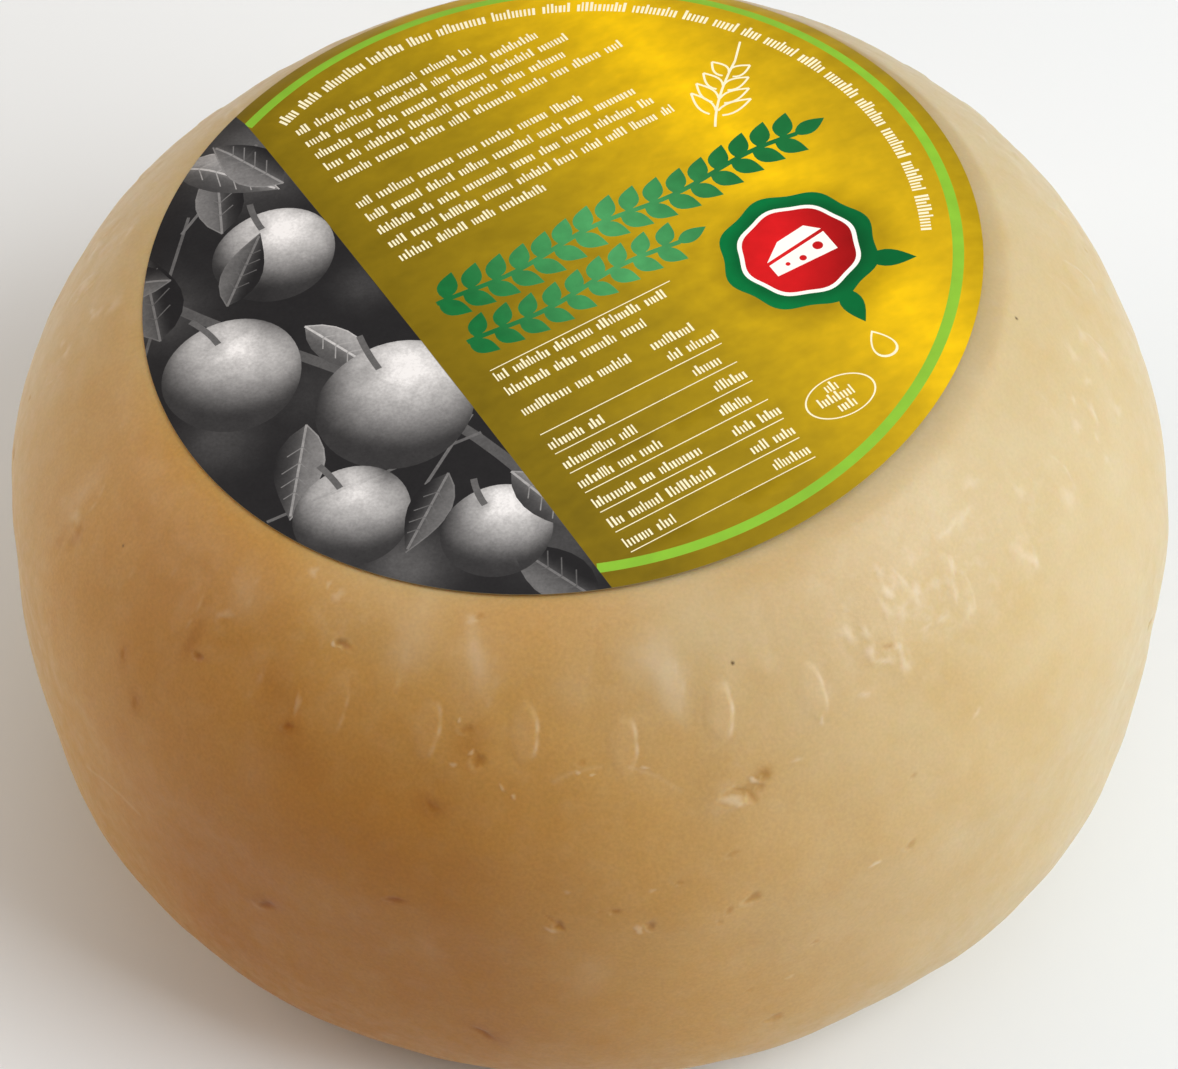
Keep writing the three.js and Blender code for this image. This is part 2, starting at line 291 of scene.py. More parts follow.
# A long scratch on the left and one round the back, then fine cracks in the skin: a strength,
# and the places it runs through as bearings and heights
SCRATCHES = [
    (1.0, [(211.9, 38.6), (215.8, 41.7), (218.9, 43.1), (222.0, 43.1)]),
    (1.0, [(103, 61.0), (107, 58.5), (112, 57.5)]),
    (0.4, [(266.5, 74.7), (268.7, 76.0), (271.2, 76.5)]),
    (0.4, [(274.1, 76.4), (276.7, 75.2), (279.1, 73.1)]),
]

# Browner, darker parts of the rind, partly its own colour and partly painted shade, deepest low on the front left:
# bearing, height, how far each spreads in mm, and how deep its colour
BLUSHES_AND_SHADE = [
    (245, 30, 66, 1.03),
    (204, 85, 32, 0.22),
    (255, 66, 26, 0.16),
    (246, 87, 11, -0.14),
    (282, 89, 8, -0.12),
    (266, 90.5, 10, 0.13),
    (275, 45, 15, -0.07),
    (221, 79, 15, 0.14),
    (205, 66, 12, 0.06),
    (97, 40, 52, 0.6),
    (20, 20, 30, 0.25),
]

# A painted shadow beside the label: the skin is painted darker all along the label's right edge
RIM_SHADOW_BEARING = math.radians(30)
RIM_SHADOW_WIDTH = 4.2 * MM
RIM_SHADOW_STAIN = 0.3
RIM_SHADOW_SHADE = 0.35

# How finely the rind is divided, and how far round each feature it is divided again
RIND_BEARINGS = 368
RIND_CELL = 1.4 * MM
EDGE_CLEARNESS = 0.5
FACE_RINGS = 7
SIDE_TOP_RADIUS = 57 * MM
SIDE_BASE_RADIUS = 46 * MM

FAR_FROM = -18
FAR_SPAN = 206
FAR_PIT_COUNT = 14
FAR_SMALL_PIT_COUNT = 24
FAR_BLISTER_COUNT = 60
FOOT_PIT_COUNT = 18

# The artwork's own coordinates have the label's radius as 1 and turn with its lines of print
ART_TURN = math.radians(30.3)
CHORD = -0.398
RING_RADIUS = 0.94
RING_WIDTH = 0.027
PRINT_LEFT = -0.312
X_HEIGHT = 0.02
RIM_POINTS = 288
BADGE_CENTRE = (0.48, -0.297)
BADGE_SHADOW_CENTRE = (0.497, -0.318)

# Thin twigs of the picture: where each starts and ends, and how light it is
TWIGS = [
    ((-0.95, -0.3), (-0.42, -0.36), 0.14),
    ((-0.97, 0.3), (-0.66, 0.66), 0.12),
    ((-0.6, -0.42), (-0.41, -0.3), 0.16),
    ((-0.7, 0.62), (-0.41, 0.78), 0.16),
]


def colour(red, green, blue):
    """Linear red, green and blue of a screen colour given from 0 to 255."""
    shares = np.array([red, green, blue]) / 255
    return tuple(np.where(shares <= 0.04045, shares / 12.92, ((shares + 0.055) / 1.055) ** 2.4))


def seeded_random(seed):
    """A repeatable draw between two limits."""
    state = seed

    def draw(least=0.0, most=1.0):
        nonlocal state
        state = state * 16807 % 2147483647
        return least + (most - least) * state / 2147483647

    return draw


def smooth_step(value, start, end):
    share = np.clip((value - start) / (end - start), 0, 1)
    return share * share * (3 - 2 * share)


def rounded_lesser(a, b, blend):
    """The lesser of two heights, rounded off where they come within blend of each other."""
    close = np.maximum(blend - np.abs(a - b), 0)
    return np.minimum(a, b) - close * close / (4 * blend)


def outline_rise(radius, rise, power):
    """The outline's height above or below the equator, at a distance from the axis."""
    share = np.minimum(radius / WHEEL_RADIUS, 1)
    return rise * (1 - share**power) ** (1 / power)


def pressed_height(x, y, z):
    """A rise above the equator as a height above the floor, with the top slanted and pressed
    into its dome and the base pressed flat."""
    slanted = z + SHOULDER_SLANT * x * smooth_step(z, SLANT_FROM, SLANT_TO)
    dome = (x * x + y * y) / (2 * FACE_DOME_RADIUS)
    face = FACE_RISE + FACE_SLANT_RIGHT * x + FACE_SLANT_BACK * y - dome
    top = np.where(z > SLANT_FROM, rounded_lesser(slanted, face, FACE_BLEND), slanted)
    return -rounded_lesser(-top - EQUATOR_HEIGHT, 0, BASE_BLEND)


def outline_at(polar):
    """Distance from the axis and rise above the equator, at an angle above the level."""
    power = np.where(polar > 0, SHOULDER_POWER, BELLY_POWER)
    rise = np.where(polar > 0, SHOULDER_RISE, BELLY_DROP)
    level = np.maximum(np.cos(polar), 0) / WHEEL_RADIUS
    upright = np.abs(np.sin(polar)) / rise
    reach = (level**power + upright**power) ** (-1 / power)
    return reach * np.maximum(np.cos(polar), 0), reach * np.sin(polar)


def outline_normal(radius, z):
    """The outline's outward direction, as its shares away from the axis and upwards."""
    power = np.where(z > 0, SHOULDER_POWER, BELLY_POWER)
    rise = np.where(z > 0, SHOULDER_RISE, BELLY_DROP)
    outward = np.minimum(radius / WHEEL_RADIUS, 1) ** (power - 1) / WHEEL_RADIUS
    upward = np.sign(z) * np.minimum(np.abs(z) / rise, 1) ** (power - 1) / rise
    length = np.hypot(outward, upward)
    return outward / length, upward / length


def smooth_surface(bearing, polar):
    """Points of the wheel without relief, for bearings and polar angles in radians."""
    radius, z = outline_at(polar)
    x = radius * np.cos(bearing)
    y = radius * np.sin(bearing)
    return np.stack([x, y, pressed_height(x, y, z)], axis=-1)


def rind_place(bearing, height):
    """The point of the smooth wheel at a bearing in degrees and a height in mm, with its
    directions outward, across and up."""
    turn = math.radians(bearing)
    polars = np.radians(np.linspace(-70, 62, 800))
    points = smooth_surface(np.full_like(polars, turn), polars)
    polar = np.interp(height * MM, points[:, 2], polars)
    radius, z = outline_at(polar)
    outward_share, upward_share = outline_normal(radius, z)
    outward = np.array(
        [outward_share * math.cos(turn), outward_share * math.sin(turn), upward_share]
    )
    across = np.array([-math.sin(turn), math.cos(turn), 0])
    return smooth_surface(turn, polar), outward, across, np.cross(outward, across)


class RindRelief:
    """How far each point of the rind moves outward, and how it is marked."""

    def __init__(self, smooth):
        self.smooth = smooth
        self.out = np.zeros(len(smooth))
        self.stain_and_shadow = np.zeros(len(smooth))
        self.pale_and_highlight = np.zeros(len(smooth))
        self.speck_and_shadow = np.zeros(len(smooth))
        self.blush_and_shade = np.zeros(len(smooth))
        self.crinkle_and_sheen = np.zeros(len(smooth))

    def around(self, bearing, height, spread):
        """How near each point lies to a place: 1 at the place, falling to 0 over its spread."""
        centre = rind_place(bearing, height)[0]
        distance = ((self.smooth - centre) ** 2).sum(axis=1)
        return np.exp(-distance / (spread * MM) ** 2)

    def waves(self, size, depth, shift):
        """Waves of about one size, in mm, all over the rind."""
        points = self.smooth / (size * MM) + shift
        self.out += depth * MM * np.array([noise.noise(Vector(point)) for point in points])

    def oval(self, bearing, height, wide, tall, turn, ragged=0.0):
        """The points round an oval mark, with 0 at its middle and 1 on its outline, how far
        right each lies as a share of half its width, and in which direction."""
        centre, _, across, upward = rind_place(bearing, height)
        reach = 1.8 * max(wide, tall) / 2 * MM
        offsets = self.smooth - centre
        close = np.flatnonzero((offsets**2).sum(axis=1) < reach**2)
        right = offsets[close] @ across / MM
        up = offsets[close] @ upward / MM
        cosine = math.cos(math.radians(turn))
        sine = math.sin(math.radians(turn))
        along = (right * cosine + up * sine) / (wide / 2)
        over = (up * cosine - right * sine) / (tall / 2)
        side = np.arctan2(over, along)
        wobble = np.sin(2 * side + bearing) + 0.7 * np.sin(3 * side + 2 * height)
        wobble += 0.4 * np.sin(5 * side + 3 * bearing)
        return close, np.hypot(along, over) / (1 + ragged * wobble), along, np.arctan2(up, right)

    def slot_print(self, bearing, height, turn, clearness, proud):
        """A low upright oval whose right edge is a thin, uneven ridge, painted pale as a highlight where it faces
        the light.
        """
        close, share, along, side = self.oval(bearing, height, SLOT_WIDE, SLOT_TALL, turn, 0.035)
        plateau = 1 - smooth_step(share, 0.7, 1.05)
        uneven = 0.62 + 0.38 * np.sin(4.5 * side + bearing)
        facing = 0.1 + smooth_step(along, 0.25, 0.85)
        ridge_and_highlight = np.exp(-(((share - 0.95) / 0.14) ** 2)) * facing * uneven
        self.out[close] += clearness * (proud * plateau + 0.08 * MM * ridge_and_highlight)
        # Painted highlight on the right-hand ridge, on the side that faces the light
        self.pale_and_highlight[close] += clearness * (0.07 * plateau + 0.38 * ridge_and_highlight)

    def pit(self, bearing, height, wide, tall, deep, turn, brown):
        """A soft ragged dent, brown inside, with a raised torn lip at its lower left painted pale as a highlight."""
        close, share, _, direction = self.oval(bearing, height, wide, tall, turn, 0.2)
        lip = np.exp(-(((share - 1.12) / 0.24) ** 2))
        lip *= np.maximum(np.cos(direction - LIT_LIP_DIRECTION), 0) ** 2
        self.out[close] -= 0.62 * deep * MM * (1 - smooth_step(share, 0, 1.1))
        self.out[close] += 0.08 * MM * lip * min(wide, tall) / 2
        self.stain_and_shadow[close] += 0.75 * brown * (1 - smooth_step(share, 0.3, 1.2))
        # Painted highlight on the lip, where the dent faces the light
        self.pale_and_highlight[close] += 0.25 * brown * lip

    def flap(self, bearing, height, wide, tall, proud, turn):
        close, share, _, _ = self.oval(bearing, height, wide, tall, turn, 0.18)
        cover = 1 - smooth_step(share, 0.3, 1.2)
        self.out[close] += 0.8 * proud * MM * cover
        # Painted highlight: the flap is painted pale where it faces the light
        self.pale_and_highlight[close] += 0.42 * cover
        self.stain_and_shadow[close] *= 1 - cover

    def blister(self, bearing, height, wide, tall, proud, turn):
        close, share, _, _ = self.oval(bearing, height, 1.3 * wide, 1.1 * tall, turn, 0.24)
        cover = 1 - smooth_step(share, 0, 1.5)
        self.out[close] += 0.5 * proud * MM * cover
        # Painted highlight: the blister is painted pale for its glossy shine
        self.pale_and_highlight[close] += 0.33 * cover

    def haze(self, bearing, height, wide, tall, turn, strength):
        close, share, _, _ = self.oval(bearing, height, wide, tall, turn, 0.08)
        self.pale_and_highlight[close] += strength * (1 - smooth_step(share, 0, 1.3))

    def rust(self, bearing, height, wide, tall, turn, strength):
        close, share, _, _ = self.oval(bearing, height, wide, tall, turn, 0.12)
        self.stain_and_shadow[close] += strength * (1 - smooth_step(share, 0, 1.5))

    def painted_rim_shadow(self):
        """Painted shadow: darker skin beside the label, all along its right."""
        beside = self.smooth[:, :2] - LABEL_OFFSET
        distance = np.hypot(*beside.T) - LABEL_RADIUS
        facing = np.cos(np.arctan2(beside[:, 1], beside[:, 0]) - RIM_SHADOW_BEARING)
        near = (1 - smooth_step(distance, 0, RIM_SHADOW_WIDTH)) * smooth_step(facing, 0, 0.8)
        near = np.where(self.smooth[:, 2] > EQUATOR_HEIGHT, near, 0)
        self.stain_and_shadow += RIM_SHADOW_STAIN * near
        self.speck_and_shadow += RIM_SHADOW_SHADE * near

    def spot(self, bearing, height, wide):
        close, share, _, _ = self.oval(bearing, height, wide, wide, 0, 0.1)
        self.speck_and_shadow[close] += 1 - smooth_step(share, 0.2, 1.3)

    def scratch(self, strength, path):
        """A thin scored line through places on the rind."""
        corners = np.array([rind_place(bearing, height)[0] for bearing, height in path])
        line = np.zeros(len(self.smooth))
        for start, end in zip(corners, corners[1:]):
            span = end - start
            share = np.clip((self.smooth - start) @ span / (span @ span), 0, 1)
            distance = np.linalg.norm(self.smooth - start - share[:, None] * span, axis=1)
            line = np.maximum(line, np.exp(-((distance / (0.28 * MM)) ** 2)))
        self.out -= 0.06 * MM * strength * line
        self.pale_and_highlight += 0.28 * strength * line


def slot_prints():
    """Bearing, height, turn and clearness of each slot's oval, and of the row above."""
    prints = []
    for i in range(SLOT_COUNT):
        bearing = SLOT_FIRST_BEARING + 360 * i / SLOT_COUNT
        height = SLOT_ROW_HEIGHT + SLOT_ROW_SLANT * math.cos(math.radians(bearing))
        height += math.sin(2.4 * i)
        turn = 4 * math.sin(1.7 * i)
        prints.append((bearing, height, turn, SLOT_CLEARNESS[i % len(SLOT_CLEARNESS)]))
        clearness = UPPER_ROW_CLEARNESS[i % len(UPPER_ROW_CLEARNESS)]
        if clearness > 0:
            between = bearing + 180 / SLOT_COUNT
            prints.append((between, height + UPPER_ROW_RISE, -turn, clearness))
    return prints


def far_pits():
    """Pits like the shown ones, round the rest of the side and low down all round."""
    draw = seeded_random(SEED + 1)
    pits = []
    for i in range(FAR_PIT_COUNT):
        bearing = FAR_FROM + FAR_SPAN * (i + draw(0, 0.7)) / FAR_PIT_COUNT
        height = draw(22, 72)
        wide = draw(2.2, 4.0)
        tall = draw(1.5, 2.4)
        deep = draw(0.35, 0.5)
        pits.append((bearing, height, wide, tall, deep, draw(-50, 50), draw(0.5, 0.85)))
    for i in range(FAR_SMALL_PIT_COUNT):
        bearing = FAR_FROM + FAR_SPAN * (i + draw(0, 0.9)) / FAR_SMALL_PIT_COUNT
        height = draw(20, 84)
        wide = draw(1.0, 2.0)
        pits.append((bearing, height, wide, draw(0.8, 1.5), 0.2, draw(-60, 60), draw(0.4, 0.7)))
    for i in range(FOOT_PIT_COUNT):
        bearing = 360 * (i + draw(0, 0.8)) / FOOT_PIT_COUNT
        height = draw(2.5, 11)
        wide = draw(1.4, 3.0)
        pits.append((bearing, height, wide, draw(1.0, 2.0), 0.35, draw(-60, 60), draw(0.4, 0.8)))
    return pits


def far_blisters():
    """Small blisters in loose clusters round the rest of the shoulder, painted pale as glossy highlights."""
    draw = seeded_random(SEED + 2)
    blisters = []
    for i in range(FAR_BLISTER_COUNT):
        cluster = i // 10
        bearing = FAR_FROM + 10 + cluster * 36 + draw(-9, 9)
        height = 82 + 4 * math.sin(2.1 * cluster) + draw(-7, 6)
        wide = draw(0.7, 1.8)
        blisters.append((bearing, height, wide, draw(1.0, 3.0), draw(0.08, 0.15), draw(-40, 40)))
    return blisters


def ring_angles():
    """Polar angles of the rind's rings, one cell apart on the side and wider apart elsewhere."""
    polars = np.radians(np.linspace(-89.9, 89.9, 4000))
    points = smooth_surface(np.zeros_like(polars), polars)
    radii, _ = outline_at(polars)
    steps = np.linalg.norm(np.diff(points, axis=0), axis=1)
    travel = np.concatenate([[0], np.cumsum(steps)])
    lower = np.flatnonzero((polars < 0) & (radii > SIDE_BASE_RADIUS))[0]
    upper = np.flatnonzero((polars > 0) & (radii > SIDE_TOP_RADIUS))[-1]
    side_count = round((travel[upper] - travel[lower]) / RIND_CELL)
    stops = np.concatenate(
        [
            np.linspace(0, travel[lower], FACE_RINGS)[1:-1],
            np.linspace(travel[lower], travel[upper], side_count),
            np.linspace(travel[upper], travel[-1], FACE_RINGS)[1:-1],
        ]
    )
    return np.interp(stops, travel, polars)


def rind_grid():
    """The rind's cells, each corner held as the cosine and sine of its bearing and its polar
    angle, so that halving an edge halves the angles."""
    grid = bmesh.new()
    bearings = np.linspace(0, 2 * math.pi, RIND_BEARINGS, endpoint=False)
    rings = []
    for polar in ring_angles():
        rings.append([grid.verts.new((math.cos(b), math.sin(b), polar)) for b in bearings])
    for lower, upper in zip(rings, rings[1:]):
        for i in range(RIND_BEARINGS):
            j = (i + 1) % RIND_BEARINGS
            grid.faces.new((lower[i], lower[j], upper[j], upper[i]))
    for ring, polar in ((rings[0], -math.pi / 2), (rings[-1], math.pi / 2)):
        middle = grid.verts.new((0, 0, polar))
        for i in range(RIND_BEARINGS):
            j = (i + 1) % RIND_BEARINGS
            corners = (ring[i], ring[j], middle) if polar > 0 else (ring[j], ring[i], middle)
            grid.faces.new(corners)
    return grid


def refine_near(grid, places):
    """Halves the cells within reach of any place: each place is a bearing, a height and a
    reach in mm."""
    held = np.array([face.calc_center_median() for face in grid.faces])
    points = smooth_surface(np.arctan2(held[:, 1], held[:, 0]), held[:, 2])
    close = np.zeros(len(points), bool)
    for bearing, height, reach in places:
        centre = rind_place(bearing, height)[0]
        close |= ((points - centre) ** 2).sum(axis=1) < (reach * MM) ** 2
    edges = {edge for face, chosen in zip(grid.faces, close) if chosen for edge in face.edges}
    bmesh.ops.subdivide_edges(grid, edges=list(edges), cuts=1, use_grid_fill=True)


def slot_edge_places(prints):
    """Places along the right edge of each clear slot oval, as bearings and heights."""
    places = []
    for bearing, height, _, clearness in prints:
        if clearness < EDGE_CLEARNESS:
            continue
        for tilt in (-60, -36, -12, 12, 36, 60):
            across = SLOT_WIDE / 2 * math.cos(math.radians(tilt))
            above = 0.76 * SLOT_TALL / 2 * math.sin(math.radians(tilt))
            turn = math.degrees(across * MM / WHEEL_RADIUS) * 1.12
            places.append((bearing + turn, height + above))
    return places


def refine_grid(grid, pits, blisters, prints):
    """Divides the rind again round each mark, and up to three times round the smallest."""
    marks = [(b, h, max(wide, tall) / 2 * 1.25 + 0.9) for b, h, wide, tall, *_ in pits + blisters]
    small = [(b, h, max(wide, tall) / 2 * 1.2 + 0.5) for b, h, wide, tall, *_ in FLAPS]
    small += [(b, h, wide + 0.4) for b, h, wide in SPECKS]
    small += [(b, h, tall / 2 + 0.4) for b, h, wide, tall, *_ in BLISTERS if wide < 1]
    ovals = [(b, h, 0.62 * SLOT_TALL) for b, h, _, clearness in prints if clearness > 0.12]
    edges = slot_edge_places(prints)
    scored = []
    for _, path in SCRATCHES:
        for (b0, h0), (b1, h1) in zip(path, path[1:]):
            scored += [(b0 + (b1 - b0) * k / 4, h0 + (h1 - h0) * k / 4, 1.8) for k in range(5)]
    fine = small + [(b, h, 1.2) for b, h in edges]
    refine_near(grid, marks + ovals + scored + [(b, h, reach + 1) for b, h, reach in fine])
    refine_near(grid, [(b, h, r - 0.5) for b, h, r in marks + scored] + [(b, h, r + 0.4) for b, h, r in fine])
    refine_near(grid, fine)


def rind_relief(smooth, radius, rind, pits, blisters, prints, upper):
    """Every swell, lump, wave and mark of the rind, at each of its points."""
    relief = RindRelief(smooth)
    for bearing, height, out, spread in SWELLS:
        relief.out += out * MM * relief.around(bearing, height, spread)
    draw = seeded_random(SEED)
    for _ in range(LUMP_COUNT):
        bearing = draw(0, 360)
        height = draw(6, 88)
        out = draw(-LUMP_OUT, LUMP_OUT)
        relief.out += out * MM * relief.around(bearing, height, draw(*LUMP_SPREAD))
    relief.waves(9, rind.wave_depth / MM, 3.1)
    relief.waves(3.4, rind.wave_depth / MM * 0.3, 7.7)
    top_fade = smooth_step(radius, *TOP_FADE)
    base_fade = smooth_step(radius, *BASE_FADE)
    relief.out *= np.where(upper, top_fade, base_fade)
    for bearing, height, turn, clearness in prints:
        relief.slot_print(bearing, height, turn, clearness, rind.slot_proud)
    for pit in pits:
        relief.pit(*pit)
    for flap in FLAPS:
        relief.flap(*flap)
    for blister in blisters:
        relief.blister(*blister)
    for haze in HAZES:
        relief.haze(*haze)
    for rust in RUSTS:
        relief.rust(*rust)
    relief.painted_rim_shadow()
    for bearing, height, wide in SPECKS:
        relief.spot(bearing, height, wide)
    for strength, path in SCRATCHES:
        relief.scratch(strength, path)
    for bearing, height, spread, depth in BLUSHES_AND_SHADE:
        relief.blush_and_shade += depth * relief.around(bearing, height, spread)
    for bearing, height, spread, strength in CRINKLES_AND_SHEEN:
        relief.crinkle_and_sheen += strength * relief.around(bearing, height, spread)
    return relief


def make_rind_mesh(rind):
    """The rind as one closed mesh with its relief and its marks."""
    pits = PITS + far_pits()
    blisters = BLISTERS + far_blisters()
    prints = slot_prints()
    grid = rind_grid()
    refine_grid(grid, pits, blisters, prints)
    mesh = bpy.data.meshes.new("cheese_rind")
    grid.to_mesh(mesh)
    grid.free()
    held = np.zeros(len(mesh.vertices) * 3)
    mesh.vertices.foreach_get("co", held)
    held = held.reshape(-1, 3)
    bearing = np.arctan2(held[:, 1], held[:, 0])
    polar = held[:, 2]
    smooth = smooth_surface(bearing, polar)
    radius, z = outline_at(polar)
    relief = rind_relief(smooth, radius, rind, pits, blisters, prints, polar > 0)
    outward, upward = outline_normal(radius, z)
    radius = radius + outward * relief.out
    x = radius * np.cos(bearing)
    y = radius * np.sin(bearing)
    points = np.stack([x, y, pressed_height(x, y, z + upward * relief.out)], axis=1)
    points += (AXIS_X, AXIS_Y, 0)
    mesh.vertices.foreach_set("co", points.ravel())
    for name in ("stain_and_shadow", "pale_and_highlight", "speck_and_shadow", "blush_and_shade", "crinkle_and_sheen"):
        attribute = mesh.attributes.new(name, "FLOAT", "POINT")
        attribute.data.foreach_set("value", np.clip(getattr(relief, name), 0, 1))
    mesh.polygons.foreach_set("use_smooth", np.ones(len(mesh.polygons), bool))
    mesh.update()
    return mesh


def circle(radius, count, centre=(0, 0), start=0.0, end=2 * math.pi):
    """Points round a circle, or along an arc of it with both its ends."""
    whole = abs(end - start - 2 * math.pi) < 1e-9
    angles = np.linspace(start, end, count, endpoint=not whole)
    return np.stack([centre[0] + radius * np.cos(angles), centre[1] + radius * np.sin(angles)], 1)


def bar(left, low, wide, tall):
    """A short upright-sided bar in lines of print."""
    return np.array([(left, low), (left + wide, low), (left + wide, low + tall), (left, low + tall)])


def arc_band(radius, wide, start, end, count):
    """Part of a ring, between two angles."""
    outer = circle(radius + wide / 2, count, start=start, end=end)
    inner = circle(radius - wide / 2, count, start=start, end=end)
    return np.concatenate([outer, inner[::-1]])


def ribbon(path, wide):
    """A line of even width along a path."""
    path = np.asarray(path, float)
    ahead = np.gradient(path, axis=0)
    ahead /= np.linalg.norm(ahead, axis=1)[:, None]
    sideways = np.stack([-ahead[:, 1], ahead[:, 0]], axis=1) * wide / 2
    return np.concatenate([path - sideways, (path + sideways)[::-1]])


def leaf_path(base, angle, length, wide, side, count=9):
    """One edge of a leaf, from its base to its tip."""
    share = np.linspace(0, 1, count)
    along = share * length
    over = side * wide / 2 * np.sin(math.pi * share**0.8)
    cosine = math.cos(angle)
    sine = math.sin(angle)
    x = base[0] + along * cosine - over * sine
    y = base[1] + along * sine + over * cosine
    return np.stack([x, y], axis=1)


def leaf(base, angle, length, wide):
    """A pointed leaf."""
    right = leaf_path(base, angle, length, wide, -1)
    left = leaf_path(base, angle, length, wide, 1)
    return np.concatenate([right, left[-2:0:-1]])


class Artwork:
    """Closed outlines printed one over another, with an ink each and, in the picture, a tone
    that changes over the shape."""

    def __init__(self):
        self.outlines = []
        self.inks = []
        self.tones = []

    def add(self, outline, ink, tone=None):
        outline = np.asarray(outline, float)
        x, y = outline.T
        area = (x * np.roll(y, -1) - y * np.roll(x, -1)).sum()
        self.outlines.append(outline if area > 0 else outline[::-1])
        self.inks.append(ink)
        self.tones.append(tone)


def add_border(art):
    """The green ring, on the gold part only."""
    opening = math.acos(CHORD / RING_RADIUS)
    art.add(arc_band(RING_RADIUS, RING_WIDTH, -opening, opening, 180), "ring")


def backdrop_tone(points):
    """Dark leaves far behind, out of focus."""
    tone = np.full(len(points), 0.012)
    blurs = [
        (-0.44, 0.74, 0.13, 0.1),
        (-0.86, 0.42, 0.1, 0.05),
        (-0.93, -0.02, 0.08, 0.05),
        (-0.68, -0.02, 0.1, 0.02),
        (-0.42, -0.74, 0.1, 0.05),
        (-0.75, -0.6, 0.09, 0.09),
        (-0.42, 0.2, 0.06, 0.04),
    ]
    for s, t, spread, brightness in blurs:
        distance = ((points - (s, t)) ** 2).sum(axis=1)
        tone += brightness * np.exp(-distance / spread**2)
    return tone


def fruit_tone(centre, radius, shade):
    """A round fruit lit from the upper right, with a shine and a shaded side."""

    def tone(points):
        offset = (points - centre) / radius
        depth = np.sqrt(np.maximum(1 - (offset**2).sum(axis=1), 0))
        lit = np.maximum(offset @ np.array([0.45, 0.5]) + 0.74 * depth, 0)
        shine = np.exp(-((offset - (0.34, 0.4)) ** 2).sum(axis=1) / 0.06)
        dip = np.exp(-((offset - (0.1, 0.62)) ** 2).sum(axis=1) / 0.03)
        cast = np.exp(-((offset - shade) ** 2).sum(axis=1) / 0.3)
        round_light = 0.035 + 0.8 * lit**2 + 0.32 * shine
        return np.clip(round_light * (1 - 0.75 * cast) - 0.25 * dip, 0.02, 1)

    return tone


def leaf_tone(base, angle, brightness):
    """A leaf whose two halves take the light differently."""

    def tone(points):
        offset = points - base
        over = offset[:, 1] * math.cos(angle) - offset[:, 0] * math.sin(angle)
        return np.maximum(brightness * (1 + 0.45 * np.tanh(over / 0.012)) + over, 0.01)

    return tone


def even_tone(brightness):
    return lambda points: np.full(len(points), brightness)


def add_picture_leaf(art, base, angle, length, wide, brightness):
    art.add(leaf(base, angle, length, wide), "picture", leaf_tone(base, angle, brightness))
    edge = ribbon(leaf_path(base, angle, length, 0.96 * wide, 1), 0.0035)
    art.add(edge, "picture", even_tone(min(brightness * 2.2, 0.8)))
    tip = (base[0] + 0.96 * length * math.cos(angle), base[1] + 0.96 * length * math.sin(angle))
    rib = np.linspace(base, tip, 6)
    art.add(ribbon(rib, 0.006), "picture", even_tone(min(brightness * 2.6, 0.8)))
    for share in (0.25, 0.42, 0.58, 0.74):
        root = np.array(base) + share * (np.array(tip) - base)
        reach = 0.42 * wide * math.sin(math.pi * share**0.8)
        for side in (-1, 1):
            direction = angle + side * math.radians(48)
            end = root + reach * np.array([math.cos(direction), math.sin(direction)])
            vein = ribbon(np.linspace(root, end, 3), 0.003)
            art.add(vein, "picture", even_tone(brightness * 1.7))


def add_fruit(art, centre, radius, shade, lean):
    """A round fruit with its short stalk."""
    angles = np.linspace(0, 2 * math.pi, 48, endpoint=False)
    reach = radius * (1 + 0.025 * np.sin(2 * angles + lean) + 0.015 * np.sin(3 * angles))
    outline = np.stack([np.cos(angles) * reach, np.sin(angles) * reach], axis=1) + centre
    art.add(outline, "picture", fruit_tone(np.array(centre), radius * 1.03, np.array(shade)))
    share = np.linspace(0, 1, 7)
    stalk_x = centre[0] + radius * (0.1 + 0.2 * lean * share**2)
    stalk_y = centre[1] + radius * (0.62 + 0.62 * share)
    art.add(ribbon(np.stack([stalk_x, stalk_y], axis=1), 0.016), "picture", even_tone(0.13))


